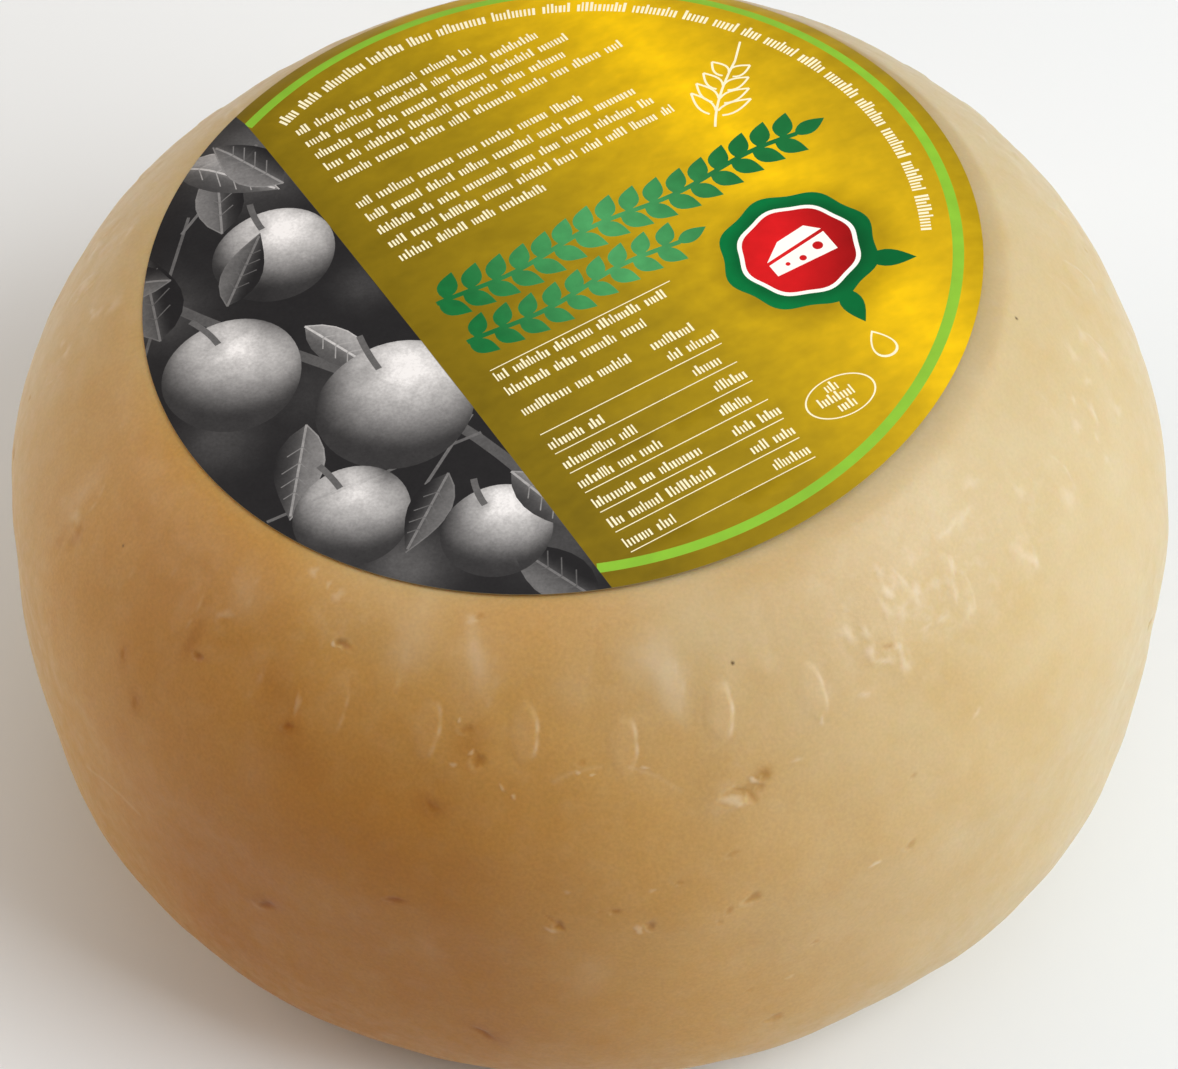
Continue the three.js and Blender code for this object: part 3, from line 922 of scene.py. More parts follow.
def add_picture(art):
    """Round fruit among leaves, in shades of grey, left of the chord."""
    half = math.acos(-CHORD)
    segment = circle(1, 120, start=math.pi - half, end=math.pi + half)
    art.add(segment, "picture", backdrop_tone)
    share = np.linspace(0, 1, 24)
    branch_x = -0.36 - 0.5 * share + 0.06 * np.sin(5 * share)
    branch_y = -0.86 + 1.62 * share + 0.07 * np.sin(4 * share + 1)
    art.add(ribbon(np.stack([branch_x, branch_y], 1), 0.028), "picture", even_tone(0.1))
    for start, end, brightness in TWIGS:
        art.add(ribbon(np.linspace(start, end, 6), 0.008), "picture", even_tone(brightness))
    add_picture_leaf(art, (-0.9, 0.34), 1.25, 0.3, 0.15, 0.07)
    add_picture_leaf(art, (-0.44, -0.93), 1.9, 0.27, 0.13, 0.07)
    add_picture_leaf(art, (-0.62, 0.56), 1.15, 0.26, 0.12, 0.1)
    add_picture_leaf(art, (-0.79, 0.5), 2.5, 0.26, 0.12, 0.09)
    add_picture_leaf(art, (-0.6, 0.86), -1.0, 0.3, 0.13, 0.22)
    add_picture_leaf(art, (-0.42, 0.62), 1.9, 0.24, 0.13, 0.12)
    add_fruit(art, (-0.55, 0.42), 0.15, (-0.9, -0.5), 0.5)
    add_picture_leaf(art, (-0.72, 0.34), 0.75, 0.24, 0.1, 0.07)
    add_fruit(art, (-0.81, 0.14), 0.17, (0.95, 0.6), -0.6)
    add_picture_leaf(art, (-0.6, 0.17), -1.25, 0.25, 0.1, 0.24)
    add_fruit(art, (-0.54, -0.17), 0.19, (-0.8, 0.9), 0.3)
    add_picture_leaf(art, (-0.74, -0.1), -2.2, 0.28, 0.12, 0.13)
    add_fruit(art, (-0.78, -0.4), 0.14, (0.9, 0.5), -0.3)
    add_picture_leaf(art, (-0.54, -0.42), -2.5, 0.24, 0.1, 0.08)
    add_fruit(art, (-0.53, -0.63), 0.13, (-0.6, 0.9), 0.6)
    add_picture_leaf(art, (-0.42, -0.5), -1.35, 0.26, 0.1, 0.16)


def add_garland(art):
    """Two rows of leaves, in the place of a title."""
    for left, right, low, size in ((PRINT_LEFT, 0.68, 0.035, 1.0), (PRINT_LEFT, 0.26, -0.112, 0.92)):
        share = np.linspace(0, 1, 40)
        stem_x = left + (right - left) * share
        stem_y = low + 0.01 * np.sin(14 * stem_x)
        art.add(ribbon(np.stack([stem_x, stem_y], 1), 0.014), "title")
        count = round((right - left) / 0.064)
        for i in range(count):
            x = left + (i + 0.2) * (right - left) / count
            y = low + 0.01 * math.sin(14 * x)
            for side in (-1, 1):
                base = (x + 0.01 * side, y + 0.004 * side)
                angle = side * math.radians(50)
                art.add(leaf(base, angle, 0.086 * size, 0.05 * size), "title")
        tip = (right - 0.005, low + 0.01 * math.sin(14 * right))
        art.add(leaf(tip, 0.1, 0.09 * size, 0.045 * size), "title")


def add_words(art, left, right, low, draw):
    """A line of fine print as upright strokes in groups of word length."""
    x = left
    while x < right - 0.02:
        end = min(x + draw(0.03, 0.13), right)
        while x < end:
            wide = draw(0.0035, 0.006)
            tall = X_HEIGHT * (1.45 if draw() > 0.75 else 1)
            art.add(bar(x, low, wide, tall), "print")
            x += wide + draw(0.0035, 0.0055)
        x += 0.014


def add_fine_print(art):
    """Two blocks of five lines each."""
    draw = seeded_random(SEED + 3)
    blocks = (
        (0.742, 0.0505, (0.49, 0.68, 0.71, 0.67, 0.8)),
        (0.43, 0.054, (0.62, 0.77, 0.76, 0.79, 0.41)),
    )
    for first, spacing, widths in blocks:
        for line, wide in enumerate(widths):
            add_words(art, PRINT_LEFT, PRINT_LEFT + wide, first - spacing * line, draw)


def add_rim_line(art):
    """A curved line of fine print inside the ring."""
    draw = seeded_random(SEED + 4)
    angle = math.radians(112)
    last = math.radians(-25)
    while angle > last:
        word_end = angle - draw(0.05, 0.16)
        while angle > word_end:
            wide = draw(0.0055, 0.0085)
            tall = X_HEIGHT * (1.7 if draw() > 0.7 else 1.25)
            art.add(arc_band(0.855 + tall / 2, tall, angle - wide, angle, 2), "print")
            angle -= wide + draw(0.0045, 0.006)
        angle -= 0.016


def add_table(art):
    """A ruled table: plain strokes for its words at the left and its values at the right."""
    draw = seeded_random(SEED + 5)
    right = 0.176
    rule = 0.0026
    art.add(bar(PRINT_LEFT, -0.212, right - PRINT_LEFT, rule), "print")
    for low, end in ((-0.25, 0.15), (-0.302, 0.06), (-0.376, 0.0)):
        add_words(art, PRINT_LEFT, end, low, draw)
    add_words(art, 0.035, right, -0.376, draw)
    add_words(art, 0.05, right, -0.427, draw)
    for row in range(7):
        low = -0.447 - 0.0683 * row
        art.add(bar(PRINT_LEFT, low, right - PRINT_LEFT, rule), "print")
        if row < 6:
            add_words(art, PRINT_LEFT, PRINT_LEFT + draw(0.12, 0.29), low - 0.052, draw)
            add_words(art, right - draw(0.08, 0.12), right, low - 0.052, draw)


def add_sprig(art):
    """A sprig of meadow grass in thin lines."""
    share = np.linspace(0, 1, 16)
    stem_x = 0.53 + 0.1 * share + 0.06 * share**2
    stem_y = 0.165 + 0.17 * share
    stem = np.stack([stem_x, stem_y], axis=1)
    art.add(ribbon(stem, 0.006), "print")
    for i, place in enumerate((3, 6, 9, 12)):
        for side in (-1, 1):
            angle = math.radians(48 + side * 48)
            length = 0.1 - 0.012 * i
            for edge in (-1, 1):
                path = leaf_path(stem[place], angle, length, 0.035, edge)[1:]
                art.add(ribbon(path, 0.0055), "print")
    top = stem[-1] + np.linspace(0, 0.07, 5)[:, None] * (math.cos(0.84), math.sin(0.84))
    art.add(ribbon(top, 0.0055), "print")


def scalloped(centre, size, squareness):
    """A closed outline with eight shallow bulges."""
    angles = np.linspace(0, 2 * math.pi, 96, endpoint=False)
    reach = size * (1 + squareness * np.cos(8 * angles))
    return np.stack([np.cos(angles) * reach, np.sin(angles) * reach], axis=1) + centre


def add_badge(art):
    """An eight-sided badge with a plain wedge of cheese, and a pair of leaves below it."""
    centre = np.array(BADGE_CENTRE)
    for angle in (-0.75, -1.45):
        base = centre + 0.16 * np.array([math.cos(angle), math.sin(angle)])
        lean = 0.2 * math.copysign(1, angle + 1.1)
        art.add(leaf(base, angle + lean, 0.12, 0.055), "badge_green")
    art.add(scalloped(centre, 0.185, 0.036), "badge_green")
    art.add(scalloped(centre, 0.145, 0.024), "badge_white")
    art.add(scalloped(centre, 0.134, 0.024), "badge_red")
    wedge = centre + np.array([(-0.085, -0.045), (0.08, -0.045), (0.08, 0.02), (-0.085, -0.005)])
    top = centre + np.array([(-0.085, 0.005), (0.08, 0.03), (0.05, 0.062), (-0.03, 0.05)])
    art.add(wedge, "badge_white")
    art.add(top, "badge_white")
    for x, y, size in ((0.045, -0.012, 0.013), (-0.005, -0.027, 0.009), (-0.045, -0.024, 0.006)):
        art.add(circle(size, 14, centre + (x, y)), "badge_red")


def drop(size):
    turn = np.linspace(0, 2 * math.pi, 28, endpoint=False)
    x = 0.62 * size * np.sin(turn) * np.sin(turn / 2) * 1.35
    return np.stack([0.485 + x, -0.652 + size * np.cos(turn)], axis=1)


def flat_oval(size):
    turn = np.linspace(0, 2 * math.pi, 48, endpoint=False)
    return np.stack([0.32 + size * np.cos(turn), -0.735 + 0.68 * size * np.sin(turn)], axis=1)


def add_small_marks(art):
    """A drop, and an oval outline with three short rows of strokes."""
    draw = seeded_random(SEED + 6)
    art.add(drop(0.046), "print")
    art.add(drop(0.039), "gold")
    art.add(flat_oval(0.089), "print")
    art.add(flat_oval(0.0845), "gold")
    for wide, low in ((0.04, -0.712), (0.11, -0.744), (0.045, -0.777)):
        add_words(art, 0.32 - wide / 2, 0.32 + wide / 2, low, draw)


def label_artwork():
    art = Artwork()
    art.add(circle(1, RIM_POINTS), "gold")
    add_picture(art)
    first_gold = len(art.outlines)
    add_border(art)
    add_fine_print(art)
    add_rim_line(art)
    add_garland(art)
    add_sprig(art)
    add_table(art)
    add_badge(art)
    add_small_marks(art)
    return art, first_gold


def filling_points(spacing, keep):
    """A grid of points inside the rim, with each row shifted by half a space."""
    points = []
    rows = int(1 / (spacing * 0.866))
    for row in range(-rows, rows + 1):
        y = row * spacing * 0.866
        shift = spacing / 2 * (row % 2)
        for column in range(-int(1 / spacing) - 1, int(1 / spacing) + 2):
            x = column * spacing + shift
            if math.hypot(x, y) < 0.985 and keep(x):
                points.append((x, y))
    return points


def printed_triangles():
    """The label's flat triangles with the ink of each, and its tone at each corner."""
    art, first_gold = label_artwork()
    points = []
    faces = []
    for outline in art.outlines:
        faces.append(list(range(len(points), len(points) + len(outline))))
        points += [Vector(point) for point in outline]
    filling = filling_points(0.016, lambda x: x < CHORD)
    filling += filling_points(0.045, lambda x: x >= CHORD)
    points += [Vector(point) for point in filling]
    found = delaunay_2d_cdt(points, [], faces, 1, 1e-6, True)
    flat = np.array([tuple(point) for point in found[0]])
    triangles = []
    inks = []
    tones = []
    for triangle, sources in zip(found[2], found[5]):
        if 0 not in sources:
            continue
        in_picture = 1 in sources
        top = max([s for s in sources if (s < first_gold) == in_picture], default=0)
        corners = flat[list(triangle)]
        tone = art.tones[top](corners) if art.tones[top] else np.zeros(len(triangle))
        triangles.append(list(triangle))
        inks.append(art.inks[top])
        tones.append(tone)
    return flat, triangles, inks, tones


def drape(flat, rise, label):
    """Label points laid on the wheel's top face, with the right edge curled up a little."""
    cosine = math.cos(ART_TURN)
    sine = math.sin(ART_TURN)
    right = LABEL_RADIUS * (flat[:, 0] * cosine - flat[:, 1] * sine)
    back = LABEL_RADIUS * (flat[:, 0] * sine + flat[:, 1] * cosine)
    share = np.hypot(right, back) / LABEL_RADIUS
    bearing = np.arctan2(back, right) - label.curl_bearing
    curl = label.curl_height * share**4 * (1 + np.cos(bearing)) / 2
    x = right + LABEL_OFFSET[0]
    y = back + LABEL_OFFSET[1]
    below = pressed_height(x, y, outline_rise(np.hypot(x, y), SHOULDER_RISE, SHOULDER_POWER))
    return np.stack([x + AXIS_X, y + AXIS_Y, below + label.gap + curl + rise], axis=1)


def rim_loop(triangles):
    """The corners round the rim, in order."""
    following = {}
    for triangle in triangles:
        for a, b in zip(triangle, triangle[1:] + triangle[:1]):
            if following.get((b, a)) is None:
                following[(a, b)] = b
            else:
                del following[(b, a)]
    step = {a: b for a, b in following}
    start = next(iter(step))
    loop = [start]
    while step[loop[-1]] != start:
        loop.append(step[loop[-1]])
    return loop


def make_label_mesh(label, ink_order):
    """The label as one closed sheet of paper, printed on its upper side."""
    flat, triangles, inks, tones = printed_triangles()
    rim = rim_loop(triangles)
    top = drape(flat, label.thickness, label)
    rings = [drape(flat[rim] * size, 0, label) for size in (1, 0.75, 0.4)]
    middle = drape(np.zeros((1, 2)), 0, label)
    points = np.concatenate([top, *rings, middle])
    count = len(rim)
    faces = list(triangles)
    paper = ink_order.index("paper")
    materials = [ink_order.index(ink) for ink in inks]
    starts = [len(flat) + count * k for k in range(len(rings))]
    for i in range(count):
        j = (i + 1) % count
        faces.append([rim[j], rim[i], starts[0] + i, starts[0] + j])
        for outer, inner in zip(starts, starts[1:]):
            faces.append([outer + j, outer + i, inner + i, inner + j])
        faces.append([starts[-1] + j, starts[-1] + i, len(points) - 1])
    materials += [paper] * (len(faces) - len(materials))
    mesh = bpy.data.meshes.new("label_print")
    mesh.from_pydata(points.tolist(), [], faces)
    mesh.polygons.foreach_set("material_index", materials)
    mesh.polygons.foreach_set("use_smooth", np.ones(len(faces), bool))
    values = np.concatenate([np.concatenate(tones), np.zeros(len(mesh.loops) - 3 * len(tones))])
    attribute = mesh.attributes.new("tone", "FLOAT", "CORNER")
    attribute.data.foreach_set("value", values)
    mesh.set_sharp_from_angle(angle=math.radians(40))
    mesh.update()
    return mesh


def new_material(name):
    """A node material, its nodes and links, and its Principled shader."""
    material = bpy.data.materials.new(name)
    material.use_nodes = True
    tree = material.node_tree
    return material, tree, tree.nodes["Principled BSDF"]


def add_node(tree, kind, inputs=None, **settings):
    """A node of one kind, with values or links for its inputs."""
    node = tree.nodes.new(kind)
    for name, value in settings.items():
        setattr(node, name, value)
    for name, value in (inputs or {}).items():
        socket = node.inputs[name]
        if isinstance(value, bpy.types.NodeSocket):
            tree.links.new(value, socket)
        else:
            socket.default_value = value
    return node


def place_in_mm(tree, scale=(1, 1, 1)):
    """The place on the object, counted in millimetres."""
    place = add_node(tree, "ShaderNodeTexCoord").outputs["Object"]
    sizes = tuple(share / MM for share in scale)
    return add_node(tree, "ShaderNodeMapping", {"Vector": place, "Scale": sizes}).outputs["Vector"]


def cloud(tree, place, size, detail=2.0, roughness=0.5):
    """Noise whose patches are about one size, in mm."""
    inputs = {"Vector": place, "Scale": 1 / size, "Detail": detail, "Roughness": roughness}
    return add_node(tree, "ShaderNodeTexNoise", inputs).outputs["Fac"]


def ranged(tree, value, low, high, to_low, to_high):
    inputs = {"Value": value, "From Min": low, "From Max": high, "To Min": to_low, "To Max": to_high}
    return add_node(tree, "ShaderNodeMapRange", inputs).outputs["Result"]


def mixed(tree, share, under, over, blend="MIX"):
    """One colour over another by a share."""
    node = add_node(tree, "ShaderNodeMix", data_type="RGBA", blend_type=blend)
    for name, value in (("Factor", share), ("A", under), ("B", over)):
        kinds = [s for s in node.inputs if s.name == name and s.enabled]
        socket = kinds[0]
        if isinstance(value, bpy.types.NodeSocket):
            tree.links.new(value, socket)
        elif name == "Factor":
            socket.default_value = value
        else:
            socket.default_value = (*value[:3], 1)
    return next(s for s in node.outputs if s.enabled)


def marks(tree, name):
    return add_node(tree, "ShaderNodeAttribute", attribute_name=name).outputs["Fac"]


def added(tree, first, share, second):
    """The first value plus a share of the second."""
    inputs = {0: share, 1: second, 2: first}
    return add_node(tree, "ShaderNodeMath", inputs, operation="MULTIPLY_ADD").outputs[0]


def rind_tint(tree, place, rind):
    """Cream to honey to brown rind in soft patches, the brown partly painted shade, with stained dents, pale torn
    skin, painted highlights and a painted shadow beside the label.
    """
    # The brown end is partly the rind's own colour and partly painted shade, deepest low on the front left
    blush_and_shade = marks(tree, "blush_and_shade")
    tint = mixed(tree, ranged(tree, blush_and_shade, 0, 0.55, 0, 1), rind.cream, rind.honey)
    tint = mixed(tree, ranged(tree, blush_and_shade, 0.55, 0.95, 0, 1), tint, rind.blush_and_shade)
    patches = added(
        tree,
        ranged(tree, cloud(tree, place, 34, 2), 0.35, 0.68, 0, 0.6),
        0.4,
        ranged(tree, cloud(tree, place, 8, 3), 0.35, 0.7, 0, 1),
    )
    tint = mixed(tree, patches, tint, rind.deeper, "MULTIPLY")
    grain = ranged(tree, cloud(tree, place, 0.5, 3), 0.3, 0.7, 0.93, 1.07)
    tint = mixed(tree, ranged(tree, blush_and_shade, 0, 0.6, 0.4, 1), tint, grain, "MULTIPLY")
    # Stains in dents and rust, and part of the painted shadow beside the label
    tint = mixed(tree, marks(tree, "stain_and_shadow"), tint, rind.stain_and_shadow, "MULTIPLY")
    milky = ranged(tree, cloud(tree, place, 3.4, 3, 0.5), 0.5, 0.8, 0, 0.07)
    # Painted sheen: crinkled skin is painted paler in small patches for its glints
    wrinkle_sheen = ranged(tree, cloud(tree, place, 2.6, 3, 0.5), 0.5, 0.72, 0, 0.25)
    # Paleness: milky haze, scratches and torn skin, with painted highlights on blisters, slot ridges, lips, flaps
    # and crinkles
    paleness_and_highlight = added(tree, marks(tree, "pale_and_highlight"), 1.0, milky)
    paleness_and_highlight = added(tree, paleness_and_highlight, marks(tree, "crinkle_and_sheen"), wrinkle_sheen)
    waning = {0: paleness_and_highlight, 1: ranged(tree, blush_and_shade, 0.2, 0.9, 1, 0.4)}
    paleness_and_highlight = add_node(tree, "ShaderNodeMath", waning, operation="MULTIPLY").outputs[0]
    tint = mixed(tree, paleness_and_highlight, tint, rind.pale_and_highlight)
    # Dark specks, and the rest of the painted shadow beside the label
    return mixed(tree, marks(tree, "speck_and_shadow"), tint, rind.speck_and_shadow)


def rind_normal(tree, place):
    """Fine grain on soft unevenness, stronger where the skin is crinkled."""
    strength = added(tree, 0.18, 0.2, marks(tree, "crinkle_and_sheen"))
    fine = {
        "Height": cloud(tree, place, 1.1, 4, 0.6),
        "Strength": strength,
        "Distance": 0.12 * MM,
    }
    soft = {
        "Height": cloud(tree, place, 5, 2),
        "Strength": 0.4,
        "Distance": 0.3 * MM,
        "Normal": add_node(tree, "ShaderNodeBump", fine).outputs["Normal"],
    }
    return add_node(tree, "ShaderNodeBump", soft).outputs["Normal"]


def rind_material(rind):
    """Translucent, slightly waxy rind."""
    material, tree, shader = new_material("cheese_rind")
    place = place_in_mm(tree)
    tree.links.new(rind_tint(tree, place, rind), shader.inputs["Base Color"])
    low, high = rind.roughness - 0.06, rind.roughness + 0.08
    shine = ranged(tree, cloud(tree, place, 2.2, 3), 0.3, 0.7, low, high)
    tree.links.new(shine, shader.inputs["Roughness"])
    tree.links.new(rind_normal(tree, place), shader.inputs["Normal"])
    shader.inputs["Subsurface Weight"].default_value = 0.6
    shader.inputs["Subsurface Radius"].default_value = (1.0, 0.5, 0.2)
    shader.inputs["Subsurface Scale"].default_value = rind.glow_depth
    shader.inputs["Specular IOR Level"].default_value = 0.28
    return material


def distance_from(tree, parts, centre):
    """How far a point of the artwork lies from a centre."""
    flat = add_node(tree, "ShaderNodeCombineXYZ", {"X": parts["X"], "Y": parts["Y"]})
    ends = {0: flat.outputs["Vector"], 1: (*centre, 0)}
    return add_node(tree, "ShaderNodeVectorMath", ends, operation="DISTANCE").outputs["Value"]


def badge_material(name, tint, label, shading, inner, outer, inner_light):
    """Badge ink that darkens towards the lower right, and changes from its inner to its outer
    edge as if it were embossed."""
    material, tree, shader = new_material(name)
    parts = add_node(tree, "ShaderNodeSeparateXYZ", {"Vector": art_place(tree)}).outputs
    lean = added(tree, parts["X"], -0.5, parts["Y"])
    shade = ranged(tree, lean, 0.58, 0.84, 0, shading)
    tint = mixed(tree, shade, tint, label.badge_shade, "MULTIPLY")
    away = distance_from(tree, parts, BADGE_CENTRE)
    emboss = ranged(tree, away, inner, outer, inner_light, 1)
    tint = mixed(tree, 1.0, tint, emboss, "MULTIPLY")
    uneven = ranged(tree, cloud(tree, place_in_mm(tree), 3, 3), 0.3, 0.7, 0.93, 1.07)
    tree.links.new(mixed(tree, 1.0, tint, uneven, "MULTIPLY"), shader.inputs["Base Color"])
    shader.inputs["Roughness"].default_value = 0.34
    shader.inputs["Specular IOR Level"].default_value = 0.1
    return material


def ink_material(name, tint, variation, roughness, size=3.0):
    """A printed ink with slight unevenness and the paper's faint grain."""
    material, tree, shader = new_material(name)
    place = place_in_mm(tree)
    uneven = ranged(tree, cloud(tree, place, size, 3), 0.3, 0.7, 1 - variation, 1 + variation)
    tree.links.new(mixed(tree, 1.0, tint, uneven, "MULTIPLY"), shader.inputs["Base Color"])
    tree.links.new(ranged(tree, cloud(tree, place, 1.5), 0.3, 0.7, roughness, roughness + 0.08), shader.inputs["Roughness"])
    grain = {"Height": cloud(tree, place, 0.5, 2), "Strength": 0.08, "Distance": 0.05 * MM}
    tree.links.new(add_node(tree, "ShaderNodeBump", grain).outputs["Normal"], shader.inputs["Normal"])
    shader.inputs["Specular IOR Level"].default_value = 0.25
    return material


def art_place(tree):
    """The artwork's own coordinates at a point of the label."""
    place = add_node(tree, "ShaderNodeTexCoord").outputs["Object"]
    centre = (AXIS_X + LABEL_OFFSET[0], AXIS_Y + LABEL_OFFSET[1], 0)
    moved = add_node(tree, "ShaderNodeVectorMath", {0: place, 1: centre}, operation="SUBTRACT")
    sizes = (1 / LABEL_RADIUS,) * 3
    inputs = {"Vector": moved.outputs["Vector"], "Scale": sizes, "Rotation": (0, 0, -ART_TURN)}
    return add_node(tree, "ShaderNodeMapping", inputs, vector_type="POINT").outputs["Vector"]


def gold_material(label):
    """Gold print that runs from olive to a bright band and back, mottled like brushed foil,
    with a printed shadow round the badge and a darker rim beyond the ring."""
    material, tree, shader = new_material("label_gold")
    art = art_place(tree)
    parts = add_node(tree, "ShaderNodeSeparateXYZ", {"Vector": art}).outputs
    lean = added(tree, parts["X"], 0.06, parts["Y"])
    ramp = add_node(tree, "ShaderNodeValToRGB", {"Fac": ranged(tree, lean, -1, 1, 0, 1)})
    stops = ramp.color_ramp.elements
    stops[0].position = 0.3
    stops[0].color = (*label.gold_deep, 1)
    stops[1].position = 1.0
    stops[1].color = (*label.gold_side, 1)
    for position, tint in (
        (0.53, label.gold_middle),
        (0.7, label.gold_light),
        (0.78, label.gold_bright),
        (0.86, label.gold_light),
    ):
        stops.new(position).color = (*tint, 1)
    smudge = {"Vector": art, "Scale": (9, 18, 9), "Rotation": (0, 0, ART_TURN)}
    smudged = add_node(tree, "ShaderNodeMapping", smudge).outputs["Vector"]
    clouds = add_node(tree, "ShaderNodeTexNoise", {"Vector": smudged, "Scale": 1, "Detail": 3})
    mottle = ranged(tree, clouds.outputs["Fac"], 0.3, 0.7, 0.9, 1.1)
    tint = mixed(tree, 1.0, ramp.outputs["Color"], mottle, "MULTIPLY")
    ripples = ranged(tree, cloud(tree, place_in_mm(tree), 1.7, 1), 0.3, 0.7, 0.965, 1.035)
    tint = mixed(tree, 1.0, tint, ripples, "MULTIPLY")
    shadow = ranged(tree, distance_from(tree, parts, BADGE_SHADOW_CENTRE), 0.18, 0.25, 0.62, 1)
    tint = mixed(tree, 1.0, tint, shadow, "MULTIPLY")
    rim = ranged(tree, distance_from(tree, parts, (0, 0)), RING_RADIUS, 0.96, 1, 0.9)
    tree.links.new(mixed(tree, 1.0, tint, rim, "MULTIPLY"), shader.inputs["Base Color"])
    shader.inputs["Metallic"].default_value = 0.15
    shader.inputs["Specular IOR Level"].default_value = 0.15
    shine = ranged(tree, clouds.outputs["Fac"], 0.3, 0.7, 0.34, 0.42)
    tree.links.new(shine, shader.inputs["Roughness"])
    return material


def picture_material(label):
    """The grey picture, with a soft printed grain."""
    material, tree, shader = new_material("label_picture")
    place = place_in_mm(tree)
    grain = ranged(tree, cloud(tree, place, 0.45, 3, 0.6), 0.3, 0.7, 0.86, 1.14)
    blotch = ranged(tree, cloud(tree, place, 2.4, 3), 0.3, 0.7, 0.88, 1.12)
    tone = {0: marks(tree, "tone"), 1: grain}
    tone = add_node(tree, "ShaderNodeMath", tone, operation="MULTIPLY").outputs[0]
    tone = add_node(tree, "ShaderNodeMath", {0: tone, 1: blotch}, operation="MULTIPLY").outputs[0]
    tint = mixed(tree, tone, label.picture_dark, label.picture_light)
    tree.links.new(tint, shader.inputs["Base Color"])
    shader.inputs["Roughness"].default_value = 0.4
    shader.inputs["Specular IOR Level"].default_value = 0.12
    return material


def title_material(label):
    """Green ink with a lighter sheen midway along the rows."""
    material, tree, shader = new_material("label_title")
    parts = add_node(tree, "ShaderNodeSeparateXYZ", {"Vector": art_place(tree)}).outputs
    centre = ranged(tree, parts["X"], -0.25, 0.12, 0, 1)
    away = ranged(tree, parts["X"], 0.12, 0.5, 1, 0)
    sheen = add_node(tree, "ShaderNodeMath", {0: centre, 1: away}, operation="MULTIPLY")
    tint = mixed(tree, sheen.outputs[0], label.title_green, label.title_sheen)
    uneven = ranged(tree, cloud(tree, place_in_mm(tree), 2, 3), 0.3, 0.7, 0.9, 1.1)
    tree.links.new(mixed(tree, 1.0, tint, uneven, "MULTIPLY"), shader.inputs["Base Color"])
    shader.inputs["Roughness"].default_value = 0.36
    shader.inputs["Specular IOR Level"].default_value = 0.25
    return material


def floor_material(stage):
    material, tree, shader = new_material("floor")
    place = place_in_mm(tree)
    shade = ranged(tree, cloud(tree, place, 220, 2), 0.3, 0.7, 0.985, 1.0)
    tree.links.new(mixed(tree, 1.0, stage.floor_tint, shade, "MULTIPLY"), shader.inputs["Base Color"])
    shader.inputs["Roughness"].default_value = 0.9
    return material


def length_property(name, description, default):
    return FloatProperty(name=name, description=description, default=default, unit="LENGTH", precision=5)


def tint_property(name, description, red, green, blue):
    return FloatVectorProperty(
        name=name, description=description, default=colour(red, green, blue), subtype="COLOR", min=0, max=1
    )


class RindSettings(bpy.types.PropertyGroup):
    """Sizes and colours of the rind"""

    wave_depth: length_property("Wave depth", "How deep the small waves between the lumps are", 0.22 * MM)
    slot_proud: length_property("Slot height", "How proud the oval prints stand", 0.16 * MM)
    glow_depth: length_property("Glow depth", "How far light travels inside the rind", 5 * MM)
    roughness: FloatProperty(name="Roughness", description="Middle roughness of the rind", default=0.4, min=0, max=1)
    cream: tint_property("Cream", "The rind where it is lightest", 202, 186, 149)
    honey: tint_property("Honey", "The rind between its lightest and its brownest", 190, 150, 88)
    blush_and_shade: tint_property("Blush", "The rind where it is brownest", 167, 113, 38)
    deeper: tint_property("Deeper patches", "Tints the rind's deeper patches", 248, 238, 214)
    stain_and_shadow: tint_property("Stain", "Tints dents and stained skin", 222, 194, 128)
    pale_and_highlight: tint_property("Pale skin", "Torn flaps, blisters and haze", 222, 208, 186)
    speck_and_shadow: tint_property("Speck", "Small dark specks and shaded skin", 96, 68, 34)


class LabelSettings(bpy.types.PropertyGroup):
    """Sizes and colours of the label"""

    thickness: length_property("Thickness", "Thickness of the paper", 0.1 * MM)
    gap: length_property("Gap", "How far the paper lies off the rind", 0.05 * MM)
    curl_height: length_property("Curl", "How far the right edge lifts", 0.5 * MM)
    curl_bearing: FloatProperty(
        name="Curl bearing", description="Where the edge lifts most", default=math.radians(-20), subtype="ANGLE"
    )
    gold_deep: tint_property("Deep gold", "Gold beside the picture", 131, 110, 14)
    gold_middle: tint_property("Middle gold", "Gold at the label's middle", 168, 141, 16)
    gold_light: tint_property("Light gold", "Gold beside the bright band", 217, 178, 14)
    gold_bright: tint_property("Bright gold", "Gold in the bright band", 253, 207, 6)
    gold_side: tint_property("Side gold", "Gold at the right rim", 175, 146, 16)
    ring_green: tint_property("Ring green", "The ring inside the rim", 138, 194, 52)
    title_green: tint_property("Title green", "The rows of leaves", 12, 112, 54)
    title_sheen: tint_property("Title sheen", "The lighter middle of the rows", 76, 164, 98)
    print_white: tint_property("Print white", "The fine print", 255, 249, 214)
    badge_green: tint_property("Badge green", "The badge's border", 0, 118, 60)
    badge_white: tint_property("Badge white", "The badge's ring and its wedge", 255, 255, 250)
    badge_red: tint_property("Badge red", "The badge's middle", 208, 24, 28)
    badge_shade: tint_property("Badge shade", "Tints the badge's right side", 150, 110, 110)
    picture_dark: tint_property("Picture dark", "Darkest grey of the picture", 21, 20, 23)
    picture_light: tint_property("Picture light", "Lightest grey of the picture", 244, 244, 246)
    # The paper's edge and back are painted a dull tan, darker than white paper: painted shade along the rim
    paper_edge_shade: tint_property("Paper", "The paper's edge and back", 150, 138, 100)


